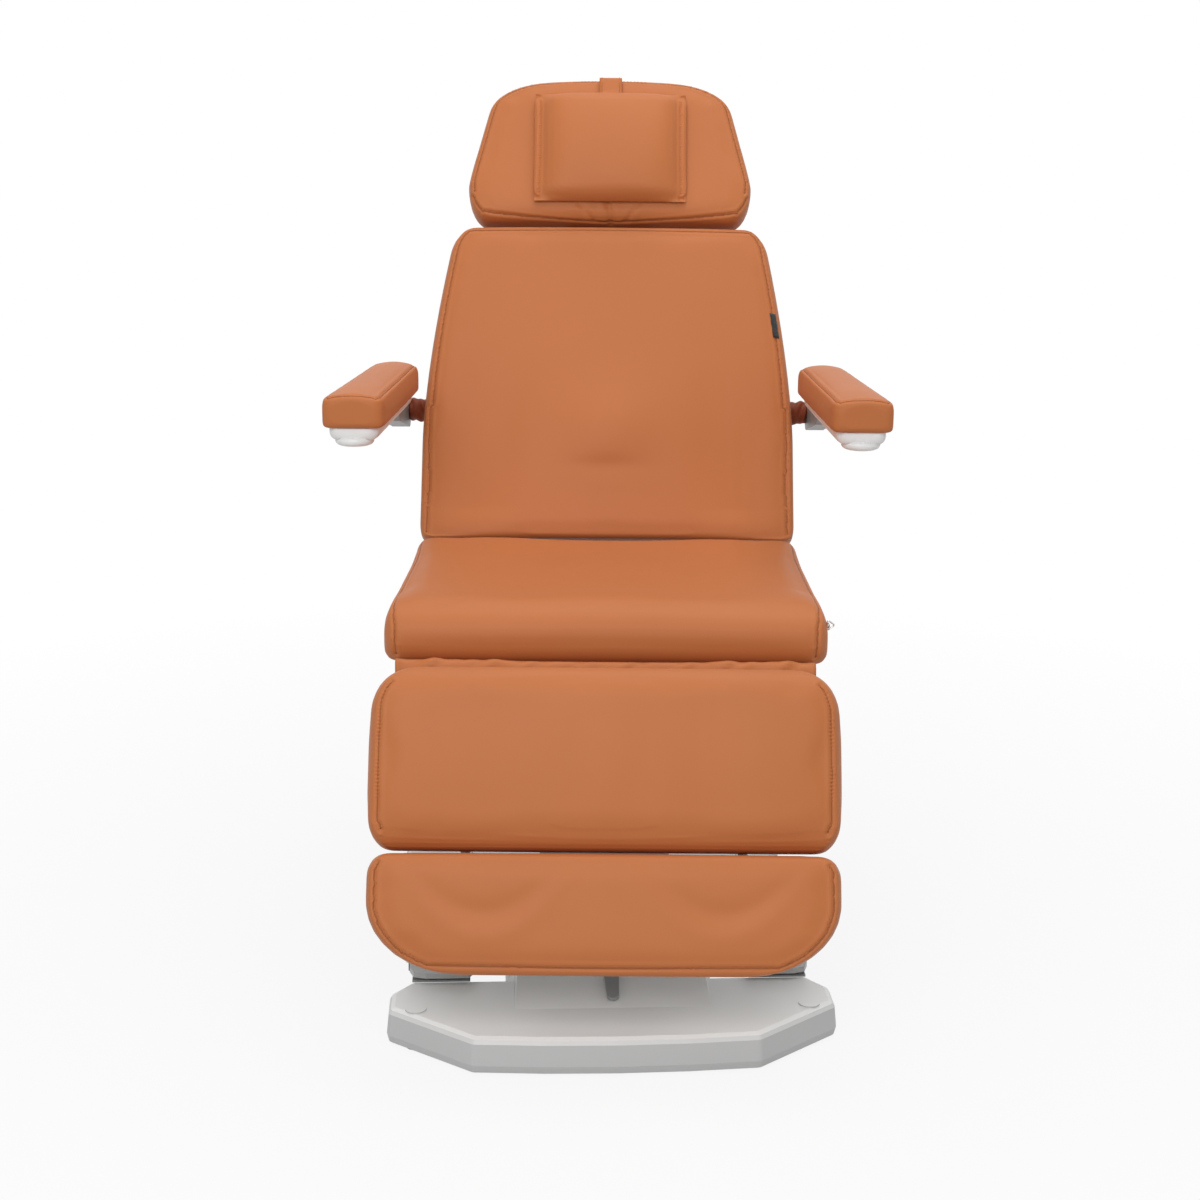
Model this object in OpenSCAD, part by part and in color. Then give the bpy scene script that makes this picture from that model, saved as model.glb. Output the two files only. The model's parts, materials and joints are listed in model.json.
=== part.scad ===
// Powered procedure chair at rest: seat at its lowest, back up, leg rest down.
// Millimetres. The chair faces -Y, and the origin is on the floor under the middle of its box.

/* [Seat] */
// Height of the top of the seat above the floor
seat_h = 590; // [575:5:630]
// Width of the seat pad and of the calf and foot pads
pad_w = 636; // [610:4:660]
// Length of the seat pad
seat_len = 460; // [450:5:480]
// Thickness of the seat pad
seat_t = 85; // [80:1:90]
// Distance from the swivel axis forward to the seat pad
seat_front = 116; // [112:1:122]

/* [Back] */
// Lean of the backrest from the vertical, in degrees
back_lean = 25; // [20:1:30]
// Length of the backrest pad
back_len = 538; // [508:5:558]
// Width of the backrest pad at its lower end
back_w = 618; // [598:4:638]
// How much each side narrows towards the top
back_taper = 48; // [30:2:60]
// Thickness of the backrest pad
back_t = 70; // [64:1:74]
// Depth of the rear shell
shell_depth = 58; // [54:1:64]

/* [Headrest] */
// Length of the headrest pad
head_len = 252; // [240:4:270]
// Width of the headrest pad at its widest
head_w = 482; // [444:4:500]
// Thickness of the headrest pad
head_t = 70; // [64:1:74]
// Gap between the backrest pad and the headrest pad
head_gap = 14; // [14:1:20]
// Length of the small pillow
pillow_len = 192; // [162:5:197]
// Width of the small pillow
pillow_w = 258; // [220:2:270]
// Thickness of the small pillow
pillow_t = 40; // [32:1:46]
// Width of the pillow's strap
strap_w = 38; // [30:1:50]

/* [Leg rest] */
// Lean of the leg rest from the vertical, in degrees
leg_lean = 24; // [22:1:28]
// Length of the calf pad
calf_len = 248; // [240:4:256]
// Length of the foot pad
foot_len = 159; // [140:2:160]
// Thickness of the calf and foot pads
leg_t = 75; // [70:1:78]
// Gap between the calf pad and the foot pad
foot_gap = 5; // [4:1:10]

/* [Armrests] */
// Height of the top of the arm pads above the top of the seat
arm_rise = 280; // [270:2:290]
// Length of an arm pad
arm_len = 394; // [370:4:410]
// Width of an arm pad at its front end
arm_w_front = 93; // [84:1:98]
// Width of an arm pad at its rear end
arm_w_rear = 77; // [66:1:84]
// How far the front of each armrest stands out past its rear
arm_toe = 16; // [14:1:20]
// Thickness of an arm pad
arm_t = 54; // [48:1:60]
// Gap between the backrest pad and each arm pad
arm_gap = 3; // [3:1:16]

/* [Base] */
// Distance from the swivel axis to the front of the base
base_front = 374; // [364:2:380]
// Distance from the swivel axis to the rear of the base
base_rear = 500; // [480:5:530]
// Width of the base over its feet
base_w = 634; // [620:4:680]
// Height of the top of the base cover above the floor
base_top = 55; // [52:1:58]
// Depth of the front foot and of the rear foot
foot_depth = 206; // [200:2:212]
// Width of the ramp-shaped centre cover
hump_w = 276; // [260:2:290]
// Height of the centre cover above the floor
hump_top = 100; // [98:1:102]
// Turn of the base under the chair at rest, in degrees
base_yaw = 3.2; // [0:0.2:8]

/* [Lifting column] */
// Width of the outer stage
column_w = 190; // [184:1:196]
// Depth of the outer stage
column_d = 150; // [140:1:156]
// Wall of each stage
column_wall = 4; // [3:0.5:5]
// Diameter of the lift screw
lift_screw_d = 34; // [30:1:36]

/* [Shafts] */
// Diameter of the back and leg hinge shafts
shaft_d = 24; // [20:1:26]
// Diameter of the armrest rod
arm_rod_d = 25; // [22:1:27]
// Diameter of the actuator rods and of the foot rails
ram_d = 20; // [18:1:22]
// Diameter of the actuator and crank pins
pin_d = 12; // [10:1:13]
// Crank radius of the back actuator
back_crank = 115; // [110:1:118]
// Crank radius of the leg actuator
leg_crank = 90; // [86:1:94]

/* [Hidden] */

// Shared clearances and small sizes
over = 1;
fit = 0.08;
slide_gap = 0.3;
side_gap = 0.5;
board_t = 12;
plate_t = 8;
sheet_t = 6;
tube_wall = 2.5;
shell_wall = 3;
stop_angle = 65;

// Colours, as the photograph shows them
orange = [0.76, 0.46, 0.3];
dark_orange = [0.55, 0.25, 0.12];
white = [0.93, 0.93, 0.92];
grey = [0.55, 0.56, 0.56];
steel = [0.62, 0.63, 0.65];
black = [0.1, 0.1, 0.1];
wood = [0.76, 0.6, 0.42];

// Seat
seat_board_top = seat_h - seat_t;
seat_rail = 30;
frame_top = seat_board_top - board_t;
frame_low = frame_top - seat_rail;
rail_x = 235;
rail_in = 16;
rail_front = rail_in - seat_front;
board_in = 14;
board_short = 26;
seat_cross_mid = 70;
seat_cross_rear = 250;
seat_cross_y = [rail_front + seat_rail / 2, seat_cross_mid, seat_cross_rear];
seat_narrow = 8;

// Back hinge: its drop under the seat top is also the rise of the pad's face over it
back_drop = 45;
back_behind = 32;
back_hinge_y = seat_len - seat_front + back_behind;
back_hinge_z = seat_h - back_drop;
back_start = 34;
back_low = back_drop - back_t;
back_board_low = back_low - board_t;
upright_h = 20;
upright_w = 30;
upright_x = 200;
upright_low = back_board_low - upright_h;
upright_start = 20;
upright_short = 46;
upright_end = back_start + back_len - upright_short;
back_cross_low = 60;
ear_r = 16;
ear_x = 236;
ear_t = 10;
torsion_d = 34;
torsion_l = 2 * (ear_x - ear_t / 2 - over);
sleeve_d = 41;
hub_rim = 4;
arm_rod_z = upright_low - arm_rod_d / 2 - side_gap;

// Leg hinge: the same rule holds
leg_drop = 126;
leg_before = 51;
leg_hinge_y = -seat_front - leg_before;
leg_hinge_z = seat_h - leg_drop;
calf_start = 40;
leg_low = leg_drop - leg_t;
leg_board_low = leg_low - board_t;
foot_start = calf_start - calf_len - foot_gap;
foot_end = foot_start - foot_len;
guide_wall = 5.5;
guide_d = ram_d + 2 * guide_wall;
guide_x = 190;
guide_z = leg_board_low - guide_d / 2;
guide_top = -20;
guide_end = foot_start + 2 * hub_rim;
rail_top = -70;
leg_plate_w = 40;
leg_plate_y = -85;

// Headrest
strap_t = 1.5;
strap_tail = 60;
head_start = back_start + back_len + head_gap;
head_behind = 2;
head_hinge_y = head_start - head_behind;
head_hinge_z = -49;
head_low = back_drop - head_t;
head_board_low = head_low - board_t;
head_pin_d = 16;
head_tube_d = 26;
head_lug_x = 64;
pillow_start = 26;

// Where the chair's box ends, seen from the swivel axis, and so the swivel axis seen from the origin
foot_round = 8.5;
reach_front = leg_hinge_y + foot_end * sin(leg_lean) - leg_drop * cos(leg_lean) + foot_round;
strap_out = slide_gap + strap_t;
reach_rear = back_hinge_y + (head_start + head_len + strap_out) * sin(back_lean)
    + (strap_out - head_board_low) * cos(back_lean);
swivel_y = -(reach_front + reach_rear) / 2;

// Armrests: the rod sits where the blocks' hubs come under their trays
arm_rear_y = 443;
arm_h = seat_h + arm_rise;
arm_span = back_w + 2 * arm_gap;
tray_t = 19;
tray_lip = -11;
tray_r = 12;
tray_low = arm_h - arm_t - tray_t;
hub_drop = 27.8;
arm_rod_y = (tray_low - hub_drop - back_hinge_z - arm_rod_z * sin(back_lean)) / cos(back_lean);
block_w = 30;
block_in = 27;
block_x = arm_span / 2 + block_in + block_w / 2;
block_seat = 75;
block_nose = 50;
block_nose_h = 22;
hub_r = 29;
boss_d = 58;
boss_h = 10;
boss_in = 6;

// Base
base_gap = 4;
edge_r = 9;
skin = 0.01;
cover_draft = 3;
cover_toe = 12;
outline_r = 14;
wide_front = 110;
wide_rear = 165;
front_flat_w = 394;
bow = 10;
back_corner_w = 574;
spine_w = 300;
cap_x = 276;
cap_in = 106;
cap_y = base_front - cap_in;
cap_rear_y = base_rear - cap_in;
cap_d = 30;
cap_plug_d = 24;
cap_h = 2;
plug_h = 10;
cross_w = 40;
cross_low = 12;
cross_h = 28;
spine_x = 60;
pedestal_d = 180;
cable_d = 40;
ring_d = 190;
ring_bore_d = 140;
ring_h = 8;
plate_d = 260;
plate_z = hump_top + ring_h + slide_gap;
foot_d = 28;
foot_h = 8;
stem_d = 12;
nut_w = 22;
inlet_w = 48;
inlet_h = 26;
inlet_z = 30;
inlet_deep = 20;
socket_w = 24;
socket_h = 16;
socket_deep = 14;

// Pedals and lever
pedal_in = 197;
pedal_out = 288;
pedal_mid = (pedal_in + pedal_out) / 2;
pedal_front = -187;
pedal_rear = -136;
pedal_t = 8;
pedal_r = 12;
pedal_hinge_y = -130;
pedal_hinge_z = 68;
pedal_pin_d = 8;
pedal_barrel_d = 13;
bracket_t = 3;
bracket_r = 8;
bracket_in = 4;
lever_y = -165;
lever_len = 100;
lever_t = 6;
lever_w = 26;
lever_tip_w = 17;
lever_heel = 12;
lever_lift = 1;
lever_pin_d = 10;
lever_pin_deep = 20;
lever_head_d = 16;
lever_head_h = 3;
hump_front = -273;
hump_rear = 300;
plateau_front = -125;
plateau_rear = 190;
hump_lean = 5;
hump_edge = 4;
ramp_angle = atan2(hump_top - base_top, plateau_front - hump_front);
lever_z = base_top + (lever_y - hump_front) * tan(ramp_angle);

// Column
column_z = plate_z + plate_t;
column_short = 30;
column_top = frame_low - column_short;
glide = 3;
glide_h = 30;
motor_can_d = 88;
motor_can_h = 48;
stage_step = 2 * (column_wall + glide + slide_gap);
stage_rise = 10;
stage_gap = 6;
floor_gap = 2;
stage_low = column_z + motor_can_h + stage_gap;
inner_low = stage_low + plate_t + floor_gap;
stage_screw_d = 16;
stage_screw_x = 35;
screw_room = 3;
flange_w = 216;
flange_d = 186;
control_w = 140;
control_t = 52;
control_h = 190;

// Actuators
half_stop = stop_angle / 2;
half_turn = 180;
back_pin_y = back_hinge_y + back_crank * sin(half_stop);
back_ram_z = back_hinge_z - back_crank * (1 + cos(half_stop)) / 2;
leg_pin_y = leg_hinge_y + leg_crank * sin(half_stop);
leg_ram_z = leg_hinge_z - leg_crank * (1 + cos(half_stop)) / 2;
back_travel = 2 * back_crank * sin(half_stop);
leg_travel = 2 * leg_crank * sin(half_stop);
motor_x = 150;
eye_t = 12;
slot_play = 1.8;
eye_rim = 7;
eye_neck = 10;
crank_t = 6;
crank_gap = 0.5;
crank_w = 24;
pin_l = eye_t + 2 * (crank_gap + crank_t);
housing_d = 40;
gearbox_w = 60;
gearbox_l = 45;
gearbox_h = 46;
motor_d = 44;
motor_len = 84;
lug_t = 12;
lug_h = 20;
lug_r = 12;
lug_out = 10;
mouth_gap = 30;
back_lug_gap = 25;
leg_lug_gap = 13;
engage = 70;
hanger_gap = 2;
back_lug_before = 22;
leg_lug_behind = 50;
back_lug_y = seat_cross_mid - back_lug_before;
leg_lug_y = seat_cross_mid + leg_lug_behind;

module rod_x(d, l) rotate([0, 90, 0]) cylinder(d = d, h = l, center = true, $fn = 64);

module rod_y(d, y0, y1) translate([0, y0, 0]) rotate([-90, 0, 0]) cylinder(d = d, h = y1 - y0, $fn = 48);

module rod_z(d, z0, z1) translate([0, 0, z0]) cylinder(d = d, h = z1 - z0, $fn = 64);

// A plate across X with its outline given as [y, z] points
module side_plate(points, t) rotate([90, 0, 90]) linear_extrude(t, center = true) polygon(points);

module block(x, y, z) translate([x[0], y[0], z[0]]) cube([x[1] - x[0], y[1] - y[0], z[1] - z[0]]);

module at_axis() translate([0, swivel_y, 0]) children();

module on_base() at_axis() rotate([0, 0, base_yaw]) children();

module on_back() at_axis() translate([0, back_hinge_y, back_hinge_z])
    rotate([90 - back_lean, 0, 0]) children();

module on_leg() at_axis() translate([0, leg_hinge_y, leg_hinge_z])
    rotate([90 - leg_lean, 0, 0]) children();

module both() for (s = [-1, 1]) scale([s, 1, 1]) children();

module mirror_x(s) mirror([s < 0 ? 1 : 0, 0, 0]) children();

// Square tube along Y, and along X
module tube_y(x, y, z, w, h) difference() {
    block([x - w / 2, x + w / 2], y, [z, z + h]);
    block([x - w / 2 + tube_wall, x + w / 2 - tube_wall], [y[0] - over, y[1] + over],
        [z + tube_wall, z + h - tube_wall]);
}

module tube_x(l, y, z, w, h) difference() {
    block([-l / 2, l / 2], [y - w / 2, y + w / 2], [z, z + h]);
    block([-l / 2 - over, l / 2 + over], [y - w / 2 + tube_wall, y + w / 2 - tube_wall],
        [z + tube_wall, z + h - tube_wall]);
}

// Pads. A pad lies along Y with its underside at z = 0. half(y) is its outline, mid(y) its centre line
// and top(u, y) its upper face, where u runs from -1 to 1 across the pad. Its sides bulge out past the
// seams by side_in, and at its ends the underside rises and the top drops over the last bulge.
side_in = 12;
bulge = 24;
side_shares = [[1.25, 0], [0.6, 0.14], [0.1, 0.4], [0, 0.72], [0.03, 0.92]];
top_shares = [-1, -0.86, -0.68, -0.48, -0.24, 0, 0.24, 0.48, 0.68, 0.86, 1];
end_shares = [0, 0.05, 0.2, 0.5, 1];
low_share = 0.3;
drop_share = 0.14;

// How far an outline is drawn in at distance d from an end, by a corner r[0] wide and r[1] long
function corner(d, r) = d >= r[1] ? 0 : r[0] * (1 - sqrt(1 - pow(1 - d / r[1], 2)));

function pull(d, r) = d >= r ? 0 : pow(1 - d / r, 2);

function hill(x, w) = exp(-pow(x / w, 2));

function pad_low(y, len, t) = t * low_share * (pull(y, bulge) + pull(len - y, bulge));

function pad_drop(y, len, t) = t * drop_share * (pull(y, bulge) + pull(len - y, bulge));

// Fades relief out towards both ends of a pad
function fade(y, len) = min(1, y / (2 * bulge), (len - y) / (2 * bulge));

// Where a pad is measured along its length: close together over its two end corners
function places(len, r0, r1, n) = concat(
    [for (s = end_shares) s * r0[1]],
    [for (k = [1:n - 1]) r0[1] + (len - r0[1] - r1[1]) * k / n],
    [for (k = [len(end_shares) - 1:-1:0]) len - end_shares[k] * r1[1]]);

function ring(y, half, mid, top, low, draw, shares) = let (
        h = half(y), c = mid(y), lo = low(y), edge = top(1, y),
        side = [for (s = shares) [h - draw * s[0], lo + (edge - lo) * s[1]]])
    concat(
        [for (p = side) [c - p[0], y, p[1]]],
        [for (u = top_shares) [c + (h - draw) * u, y, top(u, y)]],
        [for (k = [len(side) - 1:-1:0]) [c + side[k][0], y, side[k][1]]]);

module pad(ys, half, mid, top, low, draw = side_in, shares = side_shares) {
    n = 2 * len(shares) + len(top_shares);
    m = len(ys);
    last = (m - 1) * n;
    points = [for (y = ys) each ring(y, half, mid, top, low, draw, shares)];
    walls = [for (j = [0:m - 2], i = [0:n - 1]) let (
            a = j * n + i, b = j * n + (i + 1) % n, c = b + n, d = a + n)
        each [[a, d, c], [a, c, b]]];
    caps = [for (i = [0:(n - 3) / 2]) each concat(
        [[i, i + 1, n - 1 - i], [last + i + 1, last + i, last + n - 1 - i]],
        i + 1 < n - 2 - i
            ? [[i + 1, n - 2 - i, n - 1 - i], [last + n - 2 - i, last + i + 1, last + n - 1 - i]]
            : [])];
    polyhedron(points = points, faces = concat(walls, caps), convexity = 6);
}

// The board under a pad follows its outline, drawn in by a rim
module pad_board(ys, half, rim) linear_extrude(board_t) board_outline(ys, half, rim);

module board_outline(ys, half, rim) polygon(concat(
    [for (y = ys) [half(y) - rim, y]], [for (k = [len(ys) - 1:-1:0]) [rim - half(ys[k]), ys[k]]]));

function steps(y0, y1, n) = [for (k = [0:n]) y0 + (y1 - y0) * k / n];

seat_front_r = [26, 34];
seat_rear_r = [6, 10];
seat_crown = 4;
seat_dip = 5;
seat_dip_share = 0.45;
seat_rear_share = 0.5;
seat_rear_drop_share = 0.02;

function seat_side(y) = pad_w / 2 - seat_narrow * y / seat_len;

function seat_half(y) = seat_side(y) - corner(y, seat_front_r) - corner(seat_len - y, seat_rear_r);

module seat_pad() pad(places(seat_len, seat_front_r, seat_rear_r, 8), function (y) seat_half(y),
    function (y) 0,
    function (u, y) seat_t - seat_crown * u * u - seat_dip * hill(u, seat_dip_share) * y / seat_len
        - seat_t * (drop_share * pull(y, bulge) + seat_rear_drop_share * pull(seat_len - y, bulge)),
    function (y) seat_t * (low_share * pull(y, bulge) + seat_rear_share * pull(seat_len - y, bulge)));

back_low_r = [12, 20];
back_top_r = [30, 40];
back_crown = 6;
back_straight = 165;
lumbar = 12;
lumbar_y = 180;
lumbar_len = 80;
hollow = 7;
hollow_y = 90;
hollow_len = 150;
centre_share = 0.4;
hollow_shares = [0.72, 0.2];

function back_half(y) = back_w / 2 - corner(y, back_low_r) - corner(back_len - y, back_top_r)
    - back_taper * pow(max(0, y - back_straight) / (back_len - back_straight), 1.6);

module back_pad() pad(places(back_len, back_low_r, back_top_r, 10), function (y) back_half(y),
    function (y) 0,
    function (u, y) back_t - back_crown * u * u - pad_drop(y, back_len, back_t)
        + lumbar * hill(u, centre_share) * hill(y - lumbar_y, lumbar_len) * fade(y, back_len)
        - hollow * hill(abs(u) - hollow_shares[0], hollow_shares[1]) * hill(y - hollow_y, hollow_len)
            * fade(y, back_len),
    function (y) pad_low(y, back_len, back_t));

head_low_r = [34, 68];
head_top_r = [106, 50];
head_crown = 8;
head_straight = 70;
head_narrow_share = 0.25;

function head_half(y) = head_w / 2 - head_narrow_share * max(0, y - head_straight)
    - corner(y, head_low_r) - corner(head_len - y, head_top_r);

module head_pad() pad(places(head_len, head_low_r, head_top_r, 5), function (y) head_half(y),
    function (y) 0,
    function (u, y) head_t - head_crown * u * u - pad_drop(y, head_len, head_t),
    function (y) pad_low(y, head_len, head_t));

pillow_r = [10, 12];
pillow_crown = 26;
pillow_waist = 8;
pillow_lip = 30;
pillow_end_share = 0.85;

function pillow_half(y) = pillow_w / 2 - pillow_waist * sin(180 * y / pillow_len) - corner(y, pillow_r)
    - corner(pillow_len - y, pillow_r);

module pillow_pad() pad(places(pillow_len, [0, pillow_lip], [0, pillow_lip], 5),
    function (y) pillow_half(y), function (y) 0,
    function (u, y) pillow_t - pillow_crown * (u * u + (1 - u * u) * pillow_end_share
        * (pull(y, pillow_lip) + pull(pillow_len - y, pillow_lip))),
    function (y) 0);

calf_low_r = [30, 45];
calf_top_r = [58, 66];
leg_crown = 6;
trough = 5;
trough_shares = [0.45, 0.2];

function calf_half(y) = pad_w / 2 - corner(y, calf_low_r) - corner(calf_len - y, calf_top_r);

module calf_pad() pad(places(calf_len, calf_low_r, calf_top_r, 5), function (y) calf_half(y),
    function (y) 0,
    function (u, y) leg_t - leg_crown * u * u - pad_drop(y, calf_len, leg_t)
        - trough * hill(abs(u) - trough_shares[0], trough_shares[1]) * fade(y, calf_len),
    function (y) pad_low(y, calf_len, leg_t));

foot_low_r = [128, 96];
foot_top_r = [26, 30];
dimple = 7;
dimple_y = 86;
dimple_len = 55;

function foot_half(y) = pad_w / 2 - corner(y, foot_low_r) - corner(foot_len - y, foot_top_r);

module foot_pad() pad(places(foot_len, foot_low_r, foot_top_r, 3), function (y) foot_half(y),
    function (y) 0,
    function (u, y) leg_t - leg_crown * u * u - pad_drop(y, foot_len, leg_t)
        - dimple * hill(abs(u) - trough_shares[0], trough_shares[1]) * hill(y - dimple_y, dimple_len)
            * fade(y, foot_len),
    function (y) pad_low(y, foot_len, leg_t));

arm_r = [8, 12];
arm_crown = 5;
arm_side_in = 7;
arm_side_shares = [[0.8, 0], [0.2, 0.1], [0, 0.25], [0.2, 0.6], [0.5, 0.88]];

function arm_half(y) = (arm_w_front + (arm_w_rear - arm_w_front) * y / arm_len) / 2;

module arm_pad_form() pad(places(arm_len, arm_r, arm_r, 4),
    function (y) arm_half(y) - corner(y, arm_r) - corner(arm_len - y, arm_r),
    function (y) arm_half(y) + arm_toe * (1 - y / arm_len),
    function (u, y) arm_t - arm_crown * u * u - pad_drop(y, arm_len, arm_t),
    function (y) 0, arm_side_in, arm_side_shares);

// Base
bow_shares = [0.5, 0.25];
edge_shares = [0.4, 0.35];

module foot_outline() {
    hw = base_w / 2;
    fw = front_flat_w / 2;
    bx = fw * bow_shares[0];
    by = bow * bow_shares[1];
    offset(r = outline_r, $fn = 24) offset(delta = -outline_r) polygon([
        [-fw, bow], [-bx, by], [0, 0], [bx, by], [fw, bow],
        [hw, wide_front], [hw, wide_rear], [back_corner_w / 2, foot_depth],
        [-back_corner_w / 2, foot_depth], [-hw, wide_rear], [-hw, wide_front]]);
}

// One convex cover form: its outline at several heights, each drawn in by so much
module cover_form(draw, top) hull() for (layer = [
        [base_gap, cover_draft],
        [base_gap + cover_toe, 0],
        [top - edge_r, cover_draft],
        [top - edge_r * edge_shares[0], cover_draft + edge_r * edge_shares[1]],
        [top, cover_draft + edge_r]])
    translate([0, 0, layer[0] - skin]) linear_extrude(skin) offset(delta = -layer[1] - draw) children();

module cover_body(draw, top) {
    translate([0, -base_front, 0]) cover_form(draw, top) foot_outline();
    translate([0, base_rear, 0]) cover_form(draw, top) mirror([0, 1, 0]) foot_outline();
    cover_form(draw, top) polygon([
        [-spine_w / 2, foot_depth / 2 - base_front], [spine_w / 2, foot_depth / 2 - base_front],
        [spine_w / 2, base_rear - foot_depth / 2], [-spine_w / 2, base_rear - foot_depth / 2]]);
}

module at_caps() for (x = [-cap_x, cap_x], y = [-cap_y, cap_rear_y]) translate([x, y, 0]) children();

module base_frame() color(steel) on_base() difference() {
    top = cross_low + cross_h;
    union() {
        for (y = [-cap_y, cap_rear_y]) {
            tube_x(2 * cap_x - cross_w, y, cross_low, cross_w, cross_h);
            both() {
                translate([cap_x, y, 0]) rod_z(cap_plug_d - hub_rim, cross_low, top);
                block([cap_x - cross_w, cap_x], [y - stem_d / 2, y + stem_d / 2],
                    [cross_low, cross_low + sheet_t]);
            }
        }
        for (x = [-spine_x, spine_x])
            tube_y(x, [cross_w / 2 - cap_y, cap_rear_y - cross_w / 2], cross_low, cross_w, cross_h);
        rod_z(pedestal_d, cross_low, hump_top);
    }
    rod_z(pedestal_d - 2 * plate_t, cross_low - over, hump_top - plate_t);
    rod_z(cable_d, hump_top - plate_t - over, hump_top + over);
    at_caps() rod_z(stem_d, cross_low - over, top + over);
}

module base_cover() color(white) on_base() difference() {
    cover_body(0, base_top);
    cover_body(shell_wall, base_top - shell_wall);
    block([-base_w, base_w], [-base_front - over, base_rear + over], [0, base_gap + over]);
    rod_z(pedestal_d + 2 * shell_wall, cross_low, base_top + over);
    at_caps() rod_z(cap_plug_d + 2 * fit, cross_low, base_top + over);
    block([-inlet_w / 2, inlet_w / 2], [base_rear - inlet_deep, base_rear + over],
        [inlet_z - inlet_h / 2, inlet_z + inlet_h / 2]);
}

// The centre cover rises in a ramp at both ends; draw is how far its inside lies from its outside
module hump_form(draw) hull() for (layer = [
        [base_top, 0, 0],
        [hump_top - hump_edge, hump_lean, 1],
        [hump_top, hump_lean + hump_edge, 1]])
    translate([0, 0, max(base_top, layer[0] - draw - skin)]) linear_extrude(skin) polygon(let (
            x = hump_w / 2 - layer[1] - draw,
            front = layer[2] > 0 ? plateau_front + layer[1] - hump_lean : hump_front,
            rear = layer[2] > 0 ? plateau_rear - layer[1] + hump_lean : hump_rear)
        [[-x, front + draw], [x, front + draw], [x, rear - draw], [-x, rear - draw]]);

module hump_cover() color(white) on_base() difference() {
    hump_form(0);
    translate([0, 0, -skin]) hump_form(shell_wall);
    rod_z(ring_d + 2 * shell_wall, base_top - over, hump_top + over);
    on_lever() rod_z(lever_pin_d + 2 * fit, -lever_pin_deep, lever_pin_deep);
}

module foot_caps() color(white) on_base() at_caps() {
    rod_z(cap_d, base_top, base_top + cap_h);
    rod_z(cap_plug_d, base_top - plug_h, base_top);
}

module levelling_feet() color(black) on_base() at_caps() {
    rod_z(foot_d, 0, foot_h);
    rod_z(stem_d, foot_h, base_top - plug_h);
    translate([0, 0, foot_h]) cylinder(d = nut_w, h = cross_low - foot_h, $fn = 6);
}

module swivel_ring() color(steel) on_base() difference() {
    rod_z(ring_d, hump_top, hump_top + ring_h);
    rod_z(ring_bore_d, hump_top - over, hump_top + ring_h + over);
}

module at_pedal() translate([pedal_mid, pedal_hinge_y, pedal_hinge_z]) children();

module pedal_brackets() color(grey) on_base() both() {
    rear = pedal_hinge_y + bracket_r;
    block([pedal_in + bracket_in, pedal_out - bracket_in], [pedal_front + bracket_r, rear],
        [base_top, base_top + bracket_t]);
    block([pedal_in - bracket_t, pedal_out + bracket_t], [pedal_hinge_y - bracket_r, rear],
        [base_top, base_top + bracket_t]);
    for (x = [pedal_in - bracket_t, pedal_out]) difference() {
        block([x, x + bracket_t], [pedal_hinge_y - bracket_r, rear], [base_top, pedal_hinge_z + bracket_r]);
        at_pedal() rod_x(pedal_pin_d + 2 * fit, 2 * pedal_out);
    }
}

module on_lever() translate([0, lever_y, lever_z]) rotate([ramp_angle, 0, 0]) children();

module control_pins() color(steel) on_base() {
    head_z = lever_lift + lever_t + side_gap;
    both() at_pedal() rod_x(pedal_pin_d, pedal_out - pedal_in + 4 * bracket_t);
    on_lever() {
        rod_z(lever_pin_d, -lever_pin_deep, head_z);
        rod_z(lever_head_d, head_z, head_z + lever_head_h);
    }
}

module power_inlet() color(black) on_base() difference() {
    block([slide_gap - inlet_w / 2, inlet_w / 2 - slide_gap], [base_rear - inlet_deep, base_rear + over],
        [inlet_z - inlet_h / 2 + slide_gap, inlet_z + inlet_h / 2 - slide_gap]);
    block([-socket_w / 2, socket_w / 2], [base_rear - socket_deep, base_rear + 2 * over],
        [inlet_z - socket_h / 2, inlet_z + socket_h / 2]);
}

module pedal(s) color(grey) on_base() mirror_x(s) difference() {
    union() {
        translate([0, 0, pedal_hinge_z - pedal_t / 2]) linear_extrude(pedal_t) polygon([
            [pedal_in, pedal_rear], [pedal_in, pedal_front + pedal_r], [pedal_in + pedal_r / 2, pedal_front],
            [pedal_out - 2 * pedal_r, pedal_front], [pedal_out - pedal_r / 2, pedal_front + pedal_r / 2],
            [pedal_out, pedal_front + 2 * pedal_r], [pedal_out, pedal_rear]]);
        at_pedal() rod_x(pedal_barrel_d, pedal_out - pedal_in - 2 * slide_gap);
    }
    at_pedal() rod_x(pedal_pin_d + 2 * fit, 2 * pedal_out);
}

module left_pedal() pedal(-1);

module right_pedal() pedal(1);

module lock_lever() color(grey) on_base() on_lever() difference() {
    r = lever_tip_w / 2;
    translate([0, 0, lever_lift]) linear_extrude(lever_t) polygon(concat(
        [[lever_w / 2, 0], [r, lever_heel], [-r, lever_heel], [-lever_w / 2, 0]],
        [for (a = [180:30:360]) [r * cos(a), r * sin(a) - lever_len + r]]));
    rod_z(lever_pin_d + 2 * fit, 0, lever_lift + lever_t + over);
}

// Turntable and column
module swivel_plate() color(steel) at_axis() {
    rod_z(plate_d, plate_z, column_z);
    difference() {
        rod_z(ring_bore_d - 2 * fit, hump_top + over, plate_z);
        rod_z(ring_bore_d - 2 * plate_t, hump_top, plate_z);
    }
}

module box_z(w, d, z0, z1) translate([-w / 2, -d / 2, z0]) cube([w, d, z1 - z0]);

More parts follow.
